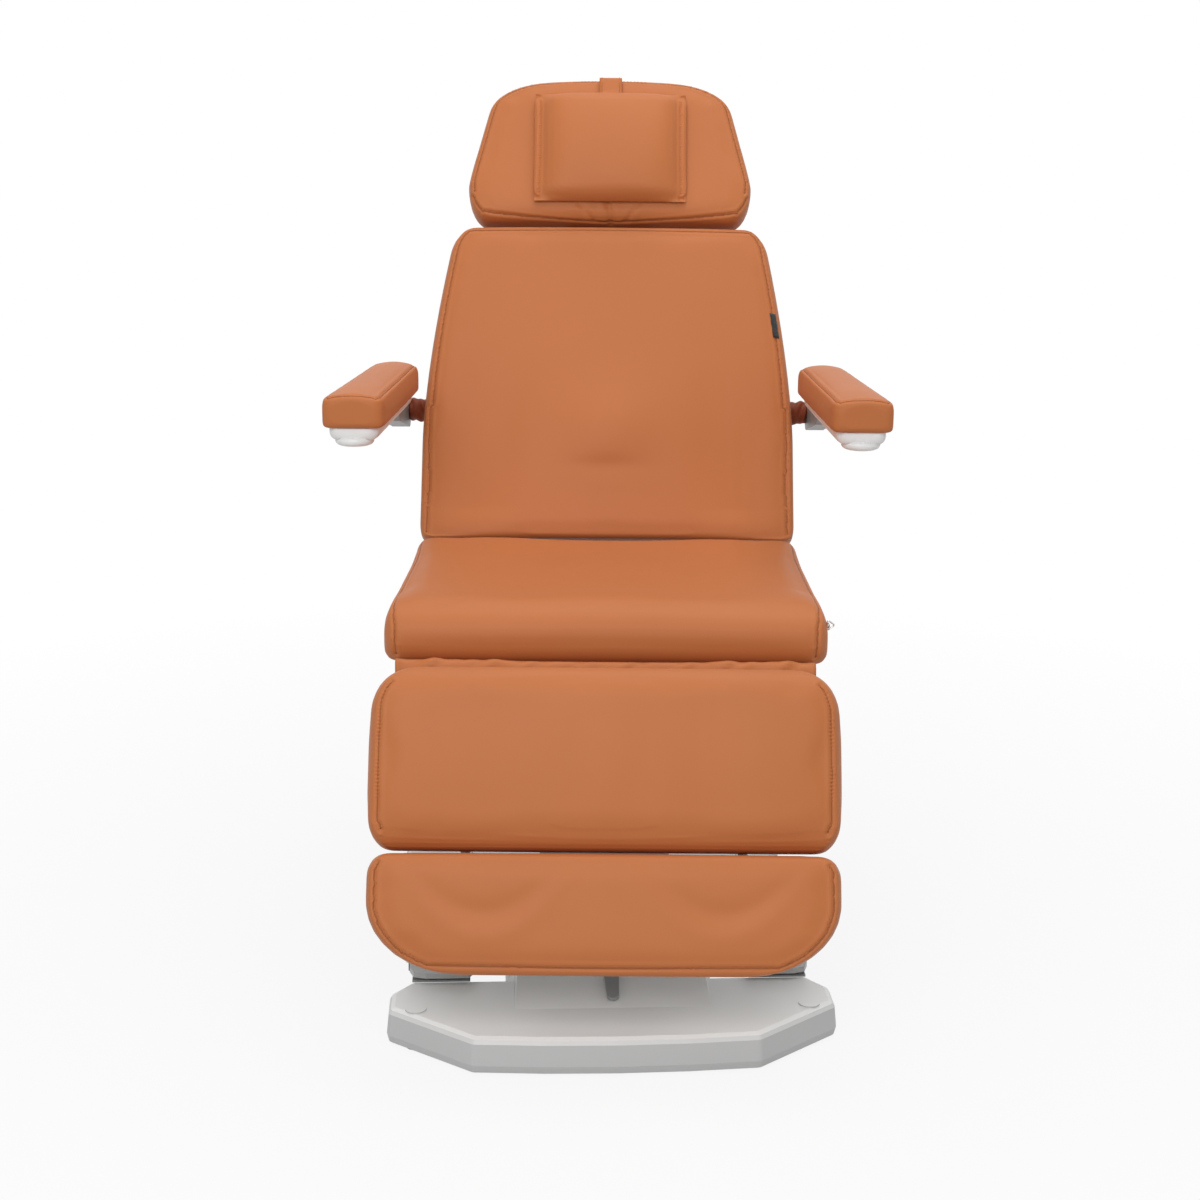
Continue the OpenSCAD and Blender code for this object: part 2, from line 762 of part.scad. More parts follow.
// Column stage k: each is smaller than the one outside it, with glide pads at its foot and its mouth
module stage(k, z0, z1) {
    w = column_w - k * stage_step;
    d = column_d - k * stage_step;
    low_w = k > 0 ? 2 * glide : 0;
    inner_w = w - 2 * column_wall;
    inner_d = d - 2 * column_wall;
    mouth = k < 2 ? 2 * glide : 0;
    difference() {
        union() {
            box_z(w, d, z0, z1);
            box_z(w + low_w, d + low_w, z0, z0 + glide_h);
        }
        box_z(inner_w, inner_d, z0 + (k > 0 ? plate_t : -over), z1 - glide_h);
        box_z(inner_w - mouth, inner_d - mouth, z1 - glide_h - over, z1 + over);
    }
}

module outer_column() color(grey) at_axis() stage(0, column_z, column_top);

module lift_motor() color(steel) at_axis() rod_z(motor_can_d, column_z, column_z + motor_can_h);

module lift_screw() color(steel) at_axis() rod_z(lift_screw_d, column_z + motor_can_h, column_top);

module control_box() color(black) at_axis()
    block([-control_w / 2, control_w / 2], [column_d / 2, column_d / 2 + control_t],
        [column_z, column_z + control_h]);

module middle_column() color(grey) at_axis() difference() {
    stage(1, stage_low, column_top + stage_rise);
    rod_z(lift_screw_d + 2 * fit, stage_low - over, stage_low + plate_t + over);
}

module stage_screw() color(steel) at_axis() translate([stage_screw_x, 0, 0])
    rod_z(stage_screw_d, stage_low + plate_t, column_top);

module inner_column() color(grey) at_axis() difference() {
    union() {
        stage(2, inner_low, frame_low - plate_t);
        box_z(flange_w, flange_d, frame_low - plate_t, frame_low);
    }
    rod_z(lift_screw_d + 2 * screw_room, inner_low - over, inner_low + plate_t + over);
    translate([stage_screw_x, 0, 0])
        rod_z(stage_screw_d + 2 * fit, inner_low - over, inner_low + plate_t + over);
}

// Seat
module eye_hole(y, z) translate([0, y, z]) rod_x(shaft_d + 2 * fit, 2 * ear_t);

// A pair of plates that carry an actuator's lug pin
module hanger(points, y, z) for (s = [-1, 1])
    translate([s * (lug_t / 2 + slide_gap + crank_t / 2), 0, 0]) difference() {
        side_plate(points, crank_t);
        translate([0, y, z]) rod_x(pin_d + 2 * fit, 2 * crank_t);
    }

module seat_frame() color(steel) at_axis() {
    lug_edge = leg_lug_y - leg_lug_gap + hanger_gap;
    both() {
        tube_y(rail_x, [rail_front, back_hinge_y + ear_r], frame_low, seat_rail, seat_rail);
        translate([ear_x, 0, 0]) difference() {
            union() {
                translate([0, back_hinge_y, back_hinge_z]) rod_x(2 * ear_r, ear_t);
                block([-ear_t / 2, ear_t / 2], [back_hinge_y - ear_r, back_hinge_y + ear_r],
                    [frame_top, back_hinge_z]);
            }
            eye_hole(back_hinge_y, back_hinge_z);
        }
        translate([ear_x, 0, 0]) difference() {
            union() {
                translate([0, leg_hinge_y, leg_hinge_z]) rod_x(2 * ear_r + hub_rim, ear_t);
                side_plate([[leg_hinge_y, leg_hinge_z + ear_r], [rail_front + over, frame_top],
                    [rail_front + over, frame_low], [leg_hinge_y, leg_hinge_z - ear_r]], ear_t);
            }
            eye_hole(leg_hinge_y, leg_hinge_z);
        }
    }
    for (y = seat_cross_y) tube_x(2 * rail_x - seat_rail, y, frame_low, seat_rail, seat_rail);
    translate([-motor_x, 0, 0]) hanger([
        [back_lug_y - lug_r, frame_low], [back_lug_y + 2 * lug_r, frame_low],
        [back_lug_y + lug_r, back_ram_z - lug_r], [back_lug_y - lug_r, back_ram_z - lug_r]],
        back_lug_y, back_ram_z);
    translate([motor_x, 0, 0]) hanger([
        [seat_cross_mid - lug_r, frame_low], [seat_cross_mid + lug_r, frame_low],
        [leg_lug_y + lug_r, leg_ram_z + lug_r], [leg_lug_y + lug_r, leg_ram_z - lug_r],
        [lug_edge, leg_ram_z - lug_r], [lug_edge, leg_ram_z + gearbox_h / 2 + 2 * hanger_gap]],
        leg_lug_y, leg_ram_z);
}

module seat_board() color(wood) at_axis() translate([0, -seat_front, frame_top])
    pad_board([board_in, seat_len - board_short], function (y) seat_side(y), 2 * side_in);

module seat_cushion() color(orange) at_axis() translate([0, -seat_front, seat_board_top]) seat_pad();

flap_lap = 2;
flap_half = pad_w / 2 - 2 * side_in + flap_lap;
flap_h = 59;
flap_over = 4;
flap_t = 2;

module knee_flap() color(orange) at_axis() difference() {
    y = board_in - seat_front - flap_t - slide_gap;
    top = seat_board_top + flap_over;
    block([-flap_half, flap_half], [y, y + flap_t], [top - flap_h, top]);
    both() block([ear_x - ear_t / 2 - over, ear_x + ear_t / 2 + over], [y - over, y + flap_t + over],
        [top - flap_h - over, frame_top + over]);
}

ring_wire = 2.4;
ring_out = 11;
ring_tall = 15.5;
ring_y = 36;
ring_z = 48;

module d_ring() color(steel) at_axis()
    translate([seat_side(ring_y) + slide_gap, ring_y - seat_front, seat_board_top + ring_z])
        rotate([90, 0, 0]) linear_extrude(ring_wire) difference() {
            polygon([[0, 0], [ring_out, ring_tall / 2], [0, ring_tall]]);
            polygon([[ring_wire, 1.7 * ring_wire], [ring_out - 1.45 * ring_wire, ring_tall / 2],
                [ring_wire, ring_tall - 1.7 * ring_wire]]);
        }

// Actuator housing along Y from its gearbox at y0 to its mouth at y1, with its lug at the other end
module housing(y0, y1, lug_gap) {
    dir = sign(y1 - y0);
    g = gearbox_l;
    box_y = [min(y0, y0 - dir * g), max(y0, y0 - dir * g)];
    lug_y = y0 - dir * (g + lug_gap);
    lug_end = lug_y - dir * lug_out;
    difference() {
        union() {
            rod_y(housing_d, min(y0, y1), max(y0, y1));
            block([-gearbox_w / 2, gearbox_w / 2], box_y, [-gearbox_h / 2, gearbox_h / 2]);
            translate([0, y0 - dir * g / 2, 0])
                rod_z(motor_d, -gearbox_h / 2 - motor_len, -gearbox_h / 2);
            block([-lug_t / 2, lug_t / 2], [min(y0 - dir * g, lug_end), max(y0 - dir * g, lug_end)],
                [-lug_h / 2, lug_h / 2]);
        }
        rod_y(ram_d + 2 * fit, min(y0, y1 + dir * over), max(y0, y1 + dir * over));
        translate([0, lug_y, 0]) rod_x(pin_d + 2 * fit, 2 * lug_t);
    }
}

// Rod with a slotted eye at its end; the slot lets the crank pin follow its arc
module ram(y_in, y_eye, rise) {
    slot_w = pin_d + 2 * slot_play;
    slot_h = pin_d + rise + 2 * slot_play;
    w = slot_w + 2 * eye_rim;
    h = slot_h + 2 * eye_rim;
    side = sign(y_in - y_eye);
    reach = (w / 2 + eye_neck - over) * side;
    rod_y(ram_d, min(y_in, y_eye + reach), max(y_in, y_eye + reach));
    translate([0, y_eye, 0]) {
        translate([0, side * (w + eye_neck) / 2, 0]) cube([eye_t, eye_neck, ram_d], center = true);
        difference() {
            cube([eye_t, w, h], center = true);
            cube([eye_t + 2 * over, slot_w, slot_h], center = true);
        }
    }
}

module back_motor() color(black) at_axis() translate([-motor_x, 0, back_ram_z])
    housing(back_lug_y + engage, back_pin_y - back_travel - mouth_gap, back_lug_gap);

module leg_motor() color(black) at_axis() translate([motor_x, 0, leg_ram_z])
    housing(leg_lug_y - leg_lug_gap - gearbox_l, leg_pin_y + mouth_gap + hub_rim, leg_lug_gap);

module motor_pins() color(steel) at_axis() {
    translate([-motor_x, back_lug_y, back_ram_z]) rod_x(pin_d, 2 * (lug_t + crank_t));
    translate([motor_x, leg_lug_y, leg_ram_z]) rod_x(pin_d, 2 * (lug_t + crank_t));
}

module back_hinge_shaft() color(steel) at_axis() translate([0, back_hinge_y, back_hinge_z])
    rod_x(shaft_d, 2 * ear_x + 2 * ear_t);

module leg_hinge_shaft() color(steel) at_axis() translate([0, leg_hinge_y, leg_hinge_z])
    rod_x(shaft_d, 2 * ear_x + 2 * ear_t);

module back_ram() color(steel) at_axis() translate([-motor_x, 0, back_ram_z])
    ram(back_pin_y - back_travel - engage, back_pin_y, back_crank * (1 - cos(half_stop)));

module leg_ram() color(steel) at_axis() translate([motor_x, 0, leg_ram_z])
    ram(leg_pin_y + leg_travel + engage, leg_pin_y, leg_crank * (1 - cos(half_stop)));

// A pair of crank plates from a hinge to a crank pin, and the pin; the angle is from the frame's own Y
module crank(x, r, angle) translate([x, 0, 0]) rotate([angle, 0, 0]) {
    for (s = [-1, 1]) translate([s * (eye_t / 2 + crank_gap + crank_t / 2), 0, 0]) {
        block([-crank_t / 2, crank_t / 2], [0, r], [-crank_w / 2, crank_w / 2]);
        translate([0, r, 0]) rod_x(crank_w, crank_t);
    }
    translate([0, r, 0]) rod_x(pin_d, pin_l);
}

// Back
back_neck = [12, 8];
arm_ear = 24;
arm_ear_low = 18;
lug_drop = 12;
lug_rise = 8;

module back_frame() color(steel) on_back() difference() {
    union() {
        rod_x(torsion_d, torsion_l);
        both() {
            translate([upright_x, 0, 0]) {
                rod_x(torsion_d + 2 * hub_rim, plate_t);
                side_plate([[-torsion_d / 2, -back_neck[1]], [back_neck[0], back_neck[0]],
                    [back_start + hanger_gap, back_low], [back_start + hanger_gap, back_board_low],
                    [back_cross_low + upright_w / 2, back_board_low],
                    [back_cross_low + upright_w / 2, upright_low], [back_neck[0], upright_low]], plate_t);
                side_plate([[arm_rod_y - arm_ear, back_board_low - over],
                    [arm_rod_y + arm_ear, back_board_low - over],
                    [arm_rod_y + arm_ear_low, arm_rod_z - arm_ear_low],
                    [arm_rod_y - arm_ear_low, arm_rod_z - arm_ear_low]], plate_t);
            }
            tube_y(upright_x, [upright_start, upright_end], upright_low, upright_w, upright_h);
            translate([head_lug_x, 0, 0]) {
                block([-plate_t / 2, plate_t / 2], [upright_end - upright_w, head_hinge_y],
                    [head_hinge_z - lug_drop, head_hinge_z + lug_rise]);
                translate([0, head_hinge_y, head_hinge_z]) rod_x(head_tube_d, plate_t);
            }
        }
        for (y = [back_cross_low, upright_end - upright_w / 2])
            tube_x(2 * upright_x - upright_w, y, upright_low, upright_w, upright_h);
        crank(-motor_x, back_crank, half_stop - half_turn + back_lean);
    }
    rod_x(shaft_d + 2 * fit, 2 * ear_x);
    translate([0, arm_rod_y, arm_rod_z]) rod_x(arm_rod_d + 2 * fit, 2 * ear_x);
    translate([0, head_hinge_y, head_hinge_z]) rod_x(head_pin_d + 2 * fit, 2 * ear_x);
}

rim = 4;
board_ends = [6, 14];

module back_board() color(wood) on_back() translate([0, back_start, back_board_low])
    pad_board(steps(board_ends[0], back_len - board_ends[1], 8), function (y) back_half(y),
        side_in + rim);

module back_outline(draw) board_outline(steps(draw + rim, back_len - draw - 2.5 * rim, 10),
    function (y) back_half(y), side_in + draw);

module back_shell() color(white) on_back() difference() {
    low = back_board_low - shell_depth;
    slot_x = head_lug_x + 2 * board_ends[0];
    translate([0, back_start, low]) linear_extrude(shell_depth) back_outline(0);
    translate([0, back_start, low + shell_wall]) linear_extrude(shell_depth) back_outline(shell_wall);
    block([-upright_x - upright_w, upright_x + upright_w], [0, back_start + upright_short],
        [low + shell_wall, 0]);
    block([-slot_x, slot_x], [back_start + back_len - upright_short, back_start + back_len],
        [head_hinge_z - lug_drop - board_ends[0], 0]);
    translate([0, arm_rod_y, arm_rod_z]) rod_x(arm_rod_d + 2 * over, 2 * back_w);
}

module back_cushion() color(orange) on_back() translate([0, back_start, back_low]) back_pad();

tab_len = 42;
tab_w = 14;
tab_t = 1;
tab_y = 345;
tab_in = 8;
tab_low = 8;
tab_lift = 5;

module side_tab() color(black) on_back()
    translate([back_half(tab_y + tab_len / 2) - tab_in, back_start + tab_y, back_drop - tab_low])
        rotate([0, 52, 0]) translate([-tab_w / 2, 0, tab_lift]) cube([tab_w, tab_len, tab_t]);

module arm_rod() color(steel) on_back() translate([0, arm_rod_y, arm_rod_z])
    rod_x(arm_rod_d, 2 * block_x + block_w - 2 * hanger_gap);

sleeve_in = 8;

module rod_sleeves() color(dark_orange) on_back() both() {
    x0 = back_w / 2 - sleeve_in;
    x1 = block_x - block_w / 2 - side_gap;
    translate([(x0 + x1) / 2, arm_rod_y, arm_rod_z]) difference() {
        rod_x(sleeve_d, x1 - x0);
        rod_x(arm_rod_d + 2 * fit, x1 - x0 + 2 * over);
    }
}

// Headrest
stay_x = 30;
stay_t = 5;
stay_in = 10;
stay_len = 170;
web_len = 130;

module head_hinge_pin() color(steel) on_back() translate([0, head_hinge_y, head_hinge_z])
    rod_x(head_pin_d, 2 * (head_lug_x + plate_t));

module head_frame() color(steel) on_back() difference() {
    stay_y = head_hinge_y + lug_rise;
    stay_z = head_board_low - stay_t;
    union() {
        translate([0, head_hinge_y, head_hinge_z])
            rod_x(head_tube_d, 2 * head_lug_x - plate_t - 2 * side_gap);
        block([stay_in - head_lug_x, head_lug_x - stay_in], [stay_y, head_start + stay_len],
            [stay_z, head_board_low]);
        both() translate([stay_x, 0, 0]) side_plate([[head_hinge_y, head_hinge_z - lug_rise],
            [head_start + web_len, stay_z], [stay_y, stay_z]], plate_t);
    }
    translate([0, head_hinge_y, head_hinge_z]) rod_x(head_pin_d + 2 * fit, 4 * head_lug_x);
}

module head_board() color(wood) on_back() translate([0, head_start, head_board_low])
    pad_board(steps(board_ends[0], head_len - board_ends[1], 8), function (y) head_half(y),
        side_in + rim);

module head_cushion() color(orange) on_back() translate([0, head_start, head_low]) head_pad();

module head_pillow() color(orange) on_back()
    translate([0, head_start + pillow_start, back_drop + slide_gap]) pillow_pad();

module pillow_strap() color(orange) on_back() {
    y0 = head_start + pillow_start + pillow_len + slide_gap;
    y1 = head_start + head_len + slide_gap;
    face = back_drop + slide_gap;
    rear = head_board_low - slide_gap;
    side_plate([[y0, face], [y1, face], [y1, rear], [y1 - strap_tail, rear],
        [y1 - strap_tail, rear - strap_t], [y1 + strap_t, rear - strap_t],
        [y1 + strap_t, face + strap_t], [y0, face + strap_t]], strap_w);
}

// Leg rest: in this frame the pads run towards -Y
leg_neck = [10, 14];
leg_plate_x = guide_x + guide_d / 2;

module leg_frame() color(steel) on_leg() difference() {
    union() {
        rod_x(torsion_d, torsion_l);
        both() {
            translate([guide_x, 0, guide_z]) rod_y(guide_d, guide_end, guide_top);
            translate([guide_x, 0, 0]) {
                rod_x(torsion_d + 2 * hub_rim, plate_t);
                side_plate([[-leg_neck[0], -leg_neck[1]], [leg_neck[0], leg_neck[1]],
                    [guide_top, leg_board_low], [leg_plate_y, leg_board_low],
                    [leg_plate_y, guide_z - plate_t]], plate_t);
            }
        }
        for (y = [leg_plate_y, guide_end + hub_rim])
            block([-leg_plate_x, leg_plate_x], [y, y + leg_plate_w],
                [leg_board_low - sheet_t, leg_board_low]);
        crank(motor_x, leg_crank, half_stop - half_turn + leg_lean);
    }
    rod_x(shaft_d + 2 * fit, 2 * ear_x);
    both() translate([guide_x, 0, guide_z]) rod_y(ram_d + 2 * fit, guide_end - over, leg_drop / 2);
}

module calf_board() color(wood) on_leg() translate([0, calf_start - calf_len, leg_board_low])
    pad_board(steps(board_ends[0], calf_len - board_ends[1], 6), function (y) calf_half(y),
        side_in + rim);

module calf_cushion() color(orange) on_leg() translate([0, calf_start - calf_len, leg_low]) calf_pad();

foot_plate_in = [25, 15];

module foot_frame() color(steel) on_leg() {
    both() translate([guide_x, 0, guide_z]) rod_y(ram_d, foot_end + foot_plate_in[0], rail_top);
    block([-leg_plate_x, leg_plate_x], [foot_end + foot_plate_in[0], foot_start - foot_plate_in[1]],
        [leg_board_low - sheet_t, leg_board_low]);
}

module foot_board() color(wood) on_leg() translate([0, foot_end, leg_board_low])
    pad_board(steps(board_ends[0], foot_len - board_ends[0], 8), function (y) foot_half(y),
        side_in + rim);

module foot_cushion() color(orange) on_leg() translate([0, foot_end, leg_low]) foot_pad();

// Armrests; the right one is drawn and the left one mirrors it
module arm_block(s) color(grey) at_axis() mirror_x(s) translate([block_x, 0, 0]) {
    hub = [back_hinge_y + arm_rod_y * sin(back_lean) - arm_rod_z * cos(back_lean),
        back_hinge_z + arm_rod_y * cos(back_lean) + arm_rod_z * sin(back_lean)];
    difference() {
        union() {
            translate([0, hub[0], hub[1]]) rod_x(2 * hub_r, block_w);
            side_plate([[hub[0], hub[1] + hub_r], [arm_rear_y, tray_low],
                [arm_rear_y - block_seat, tray_low], [arm_rear_y - block_nose, tray_low - block_nose_h],
                [hub[0], hub[1] - hub_r]], block_w);
        }
        translate([0, hub[0], hub[1]]) rod_x(arm_rod_d + 2 * fit, block_w + 2 * over);
    }
}

module at_arm(z) at_axis() translate([0, arm_rear_y - arm_len, z]) children();

module arm_tray(s) color(white) at_arm(tray_low) mirror_x(s) translate([arm_span / 2, 0, 0]) {
    linear_extrude(tray_t) offset(r = tray_r, $fn = 32) offset(delta = tray_lip - tray_r)
        polygon([[arm_toe, 0], [arm_toe + arm_w_front, 0], [arm_w_rear, arm_len], [0, arm_len]]);
    translate([arm_toe + arm_w_front / 2, boss_d / 2 + boss_in, 0]) rod_z(boss_d, -boss_h, 0);
}

module arm_pad(s) color(orange) at_arm(arm_h - arm_t) mirror_x(s)
    translate([arm_span / 2, 0, 0]) arm_pad_form();

module left_arm_block() arm_block(-1);

module left_arm_tray() arm_tray(-1);

module left_arm_pad() arm_pad(-1);

module right_arm_block() arm_block(1);

module right_arm_tray() arm_tray(1);

module right_arm_pad() arm_pad(1);

base_frame();
base_cover();
hump_cover();
foot_caps();
levelling_feet();
swivel_ring();
pedal_brackets();
control_pins();
power_inlet();
left_pedal();
right_pedal();
lock_lever();
swivel_plate();
outer_column();
lift_motor();
lift_screw();
control_box();
middle_column();
stage_screw();
inner_column();
seat_frame();
seat_board();
seat_cushion();
knee_flap();
d_ring();
back_motor();
leg_motor();
motor_pins();
back_hinge_shaft();
leg_hinge_shaft();
back_ram();
leg_ram();
back_frame();
back_board();
back_shell();
back_cushion();
side_tab();
arm_rod();
rod_sleeves();
head_hinge_pin();
head_frame();
head_board();
head_cushion();
head_pillow();
pillow_strap();
leg_frame();
calf_board();
calf_cushion();
foot_frame();
foot_board();
foot_cushion();
left_arm_block();
left_arm_tray();
left_arm_pad();
right_arm_block();
right_arm_tray();
right_arm_pad();
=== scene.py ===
"""A procedure chair: upholstery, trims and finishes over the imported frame.

Metres, Z up, the chair faces -Y. Pads, cloths and trims replace the plain soft solids of the CAD,
and every other CAD piece keeps its mesh and gets a finish.
"""
import math

import bpy
import numpy as np
from mathutils import Matrix, Vector
from mathutils.bvhtree import BVHTree
from mathutils.kdtree import KDTree
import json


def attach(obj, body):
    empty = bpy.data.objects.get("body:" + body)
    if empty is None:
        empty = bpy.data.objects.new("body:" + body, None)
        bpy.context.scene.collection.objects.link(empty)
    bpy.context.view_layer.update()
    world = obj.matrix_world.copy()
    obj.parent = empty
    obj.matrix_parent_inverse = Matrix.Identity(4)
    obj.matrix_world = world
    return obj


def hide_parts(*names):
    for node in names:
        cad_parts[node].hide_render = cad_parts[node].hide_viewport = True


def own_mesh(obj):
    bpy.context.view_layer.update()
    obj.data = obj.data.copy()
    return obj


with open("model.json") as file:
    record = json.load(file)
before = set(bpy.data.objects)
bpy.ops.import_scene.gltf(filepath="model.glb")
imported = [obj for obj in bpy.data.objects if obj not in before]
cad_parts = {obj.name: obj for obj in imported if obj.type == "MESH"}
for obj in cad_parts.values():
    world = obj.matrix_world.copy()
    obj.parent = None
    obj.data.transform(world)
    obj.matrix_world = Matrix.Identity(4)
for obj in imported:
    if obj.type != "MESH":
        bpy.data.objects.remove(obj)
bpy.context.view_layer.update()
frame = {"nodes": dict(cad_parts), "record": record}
scene = bpy.context.scene

# Sizes of the chair, as in part.scad
SWIVEL_Y = -0.170583
SEAT_H, SEAT_LEN, SEAT_T, SEAT_FRONT, SEAT_NARROW = 0.590, 0.460, 0.085, 0.116, 0.008
PAD_W = 0.636
BACK_LEN, BACK_W, BACK_TAPER, BACK_T, BACK_STRAIGHT = 0.538, 0.618, 0.048, 0.070, 0.165
HEAD_LEN, HEAD_W, HEAD_T, HEAD_GAP, HEAD_STRAIGHT = 0.252, 0.482, 0.070, 0.014, 0.070
PILLOW_LEN, PILLOW_W, PILLOW_T, PILLOW_START = 0.192, 0.258, 0.040, 0.026
CALF_LEN, FOOT_LEN, LEG_T, FOOT_GAP = 0.248, 0.159, 0.075, 0.005
ARM_H, ARM_LEN, ARM_T, ARM_SPAN, ARM_TOE = 0.870, 0.394, 0.054, 0.624, 0.016
ARM_FRONT, ARM_REAR, ARM_REAR_Y = 0.093, 0.077, 0.443
TRAY_T, TRAY_IN, BOSS_R = 0.019, 0.009, 0.029
STRAP_W, STRAP_TAIL, BOARD_T = 0.038, 0.060, 0.012
FLAP_W = 0.592
SLEEVE_R, ARM_ROD_Y, ARM_ROD_Z = 0.0205, 0.280019, -0.070
TAB_Y, TAB_LEN, TAB_W = 0.345, 0.042, 0.013
BACK_LEAN, LEG_LEAN = 25, 24
BACK_DROP, LEG_DROP = 0.045, 0.126
BACK_START, CALF_START = 0.034, 0.040
BACK_HINGE_Y, LEG_HINGE_Y = SEAT_LEN - SEAT_FRONT + 0.032, -SEAT_FRONT - 0.051
HEAD_START = BACK_START + BACK_LEN + HEAD_GAP
SLIDE_GAP = 0.0003

# The pads' plain forms, before they swell
STATION_STEP, END_STEPS, HEEL_STEPS, SHOULDER_STEPS, FACE_STEPS = 0.014, 8, 5, 6, 12
THINNEST, SHOULDER_SHARE, HEEL_SHARE = 0.004, 0.62, 0.34

# The covers' swelling
VOXEL = 0.005
SWELL_FRAMES, SWELL_CAP, EVEN_ROUNDS = 20, 0.005, 10
PRESSURE, COVER_MASS, STIFFNESS, BENDING, QUALITY = 4, 0.3, 18, 2, 4
STAPLED_BELOW = 0.008
PROUD, CUT_SHORT = 0.002, 0.002

# Seams: the groove with the low swell beside it, the piping and the thread
SEAM_STEP, SEAM_DEPTH, SEAM_WIDTH = 0.003, 0.0022, 0.0026
SWELL_SHARE, SWELL_AT, SWELL_WIDTH = 0.25, 2.4, 1.1
PIPING_R = 0.0008
STITCH_ASIDE, STITCH_PITCH, STITCH_LEN, THREAD_R, THREAD_SIDES = 0.0042, 0.0052, 0.0034, 0.00042, 5
STITCH_LINE = ((-0.5, -0.0006), (-0.25, 0.00025), (0.25, 0.00025), (0.5, -0.0006))
STITCH_SHOWS = 0.4

# Trims
BOSS_PROFILE = ((BOSS_R, 0.004), (BOSS_R, -0.002), (BOSS_R - 0.0008, -0.0045),
                (BOSS_R - 0.003, -0.007), (BOSS_R - 0.007, -0.0088), (BOSS_R - 0.014, -0.0096),
                (0.004, -0.01))
BOSS_SIDES, BOSS_IN = 48, 0.006
PATH_STEP = 0.006
STRAP_T, STRAP_BULGE, STRAP_BEND = 0.0016, 0.0007, 0.006
STRAP_LAP, STRAP_EASE, STRAP_RISE, STRAP_LIES, STRAP_OVER = 0.012, 0.016, 0.014, 0.003, 0.0015
STRAP_SEAM_IN, STRAP_SEAM_UP, STRAP_SEAM_END = 0.004, 0.0019, 0.006
FLAP_PATH = ((0, 0), (0.012, -0.004), (0.019, 0.004), (0.024, 0.014), (0.031, 0.02), (0.038, 0.012),
             (0.042, -0.008), (0.043, -0.03), (0.042, -0.05))
FLAP_COLS, FLAP_ROWS, FLAP_T = 120, 16, 0.0014
FLAP_BEHIND, FLAP_BELOW, FLAP_FOLD_AT = 0.0105, 0.004, 0.012
FLAP_MIDDLE, FLAP_SIDE_FROM, FLAP_SIDE_OVER = 0.35, 0.32, 0.3
# Wrinkles across the flap: waves over its half width, phase, drift down the path, share
FLAP_WAVES = ((23, 1.1, 0, 1), (41, 2, 2, 0.6), (67, 0, 3, 0.4))
WRINKLE_OUT, WRINKLE_UP = 0.0018, 0.0016
SLEEVE_RINGS, SLEEVE_SIDES, SLEEVE_IN, SLEEVE_OUT = 28, 40, 0.008, 0.0265
SLEEVE_EASE, SLEEVE_TWIST, SLEEVE_RIPPLE, SLEEVE_TUCK = 0.0016, 0.0012, 0.0009, 0.002
TAB_ROWS, TAB_COLS, TAB_T, TAB_IN, TAB_LIFT = 10, 5, 0.0007, 0.0035, 0.0006
RING_X, RING_Y, RING_Z = PAD_W / 2 - 0.0015, -SEAT_FRONT + 0.036, SEAT_H - SEAT_T + 0.048
RING_WIRE_R, RING_WIRE_SIDES, RING_AHEAD = 0.0011, 8, 0.0012
RING_CORNERS = ((0, 0, 0), (0.0105, 0, 0.0078), (0, 0, 0.0155))
RING_STEPS = (0.12, 0.3, 0.5, 0.7, 0.88)
LOOP_BEND, LOOP_BENDS, LOOP_HALF, LOOP_T, LOOP_UP = 0.0012, 4, 0.004, 0.0007, 0.0042
LOOP_PATH = ((-0.004, 0.0), (0.0022, -0.0004), (0.0034, 0.0035), (0.001, 0.007), (-0.004, 0.0064))

# Stage, light and camera
AMBIENT, FLOOR_WHITE, SHADOW_REACH = 0.44, 0.86, 2.2
FLOOR_HALF, FLOOR_GREY = 9, 0.55
AIM = (0, 0, 0.6)
LAMPS = (("key", (-0.6, -3.4, 2.6), (2.4, 1.8), 64), ("top", (0.3, 0.0, 3.6), (2.6, 2.6), 46))
CAMERA_BACK, CAMERA_UP, CAMERA_PITCH, CAMERA_ROLL = 2.890, 1.290, 13.9, 0.5
SENSOR, LENS, PHOTO_SHIFT, PHOTO_W = 36, 60.9, -6.3, 1200


# Frames and small helpers

def tilted(lean, y, z):
    """The frame of a hinged section: its own Y runs up along the pads, its Z out of their faces."""
    a = math.radians(90 - lean)
    return Matrix.Translation((0, SWIVEL_Y + y, z)) @ Matrix.Rotation(a, 4, "X")


ON_BACK = tilted(BACK_LEAN, BACK_HINGE_Y, SEAT_H - BACK_DROP)
ON_LEG = tilted(LEG_LEAN, LEG_HINGE_Y, SEAT_H - LEG_DROP)
ON_SEAT = Matrix.Translation((0, SWIVEL_Y - SEAT_FRONT, SEAT_H - SEAT_T))


def on_arm(side, z):
    """The frame of an armrest's piece at height z, mirrored for the left one."""
    corner_of_arm = (side * ARM_SPAN / 2, SWIVEL_Y + ARM_REAR_Y - ARM_LEN, z)
    return Matrix.Translation(corner_of_arm) @ Matrix.Diagonal((side, 1, 1, 1))


def arm_half(y):
    """Half an arm pad's width, at distance y from its front."""
    return (ARM_FRONT + (ARM_REAR - ARM_FRONT) * y / ARM_LEN) / 2


def side_name(side):
    return "left" if side < 0 else "right"


def corner(d, r):
    """How far a corner r[0] wide and r[1] long draws an outline in, at distance d from its end."""
    return 0 if d >= r[1] else r[0] * (1 - math.sqrt(max(0, 1 - (1 - d / r[1]) ** 2)))


def hill(x, w):
    """A smooth bump: 1 at x = 0, and nearly gone beyond twice its width."""
    return math.exp(-(x / w) ** 2)


def walls(rings, sides, start=0):
    """Faces between rings of vertices, each ring with the same number of sides."""
    return [(start + j * sides + k, start + j * sides + (k + 1) % sides,
             start + (j + 1) * sides + (k + 1) % sides, start + (j + 1) * sides + k)
            for j in range(rings - 1) for k in range(sides)]


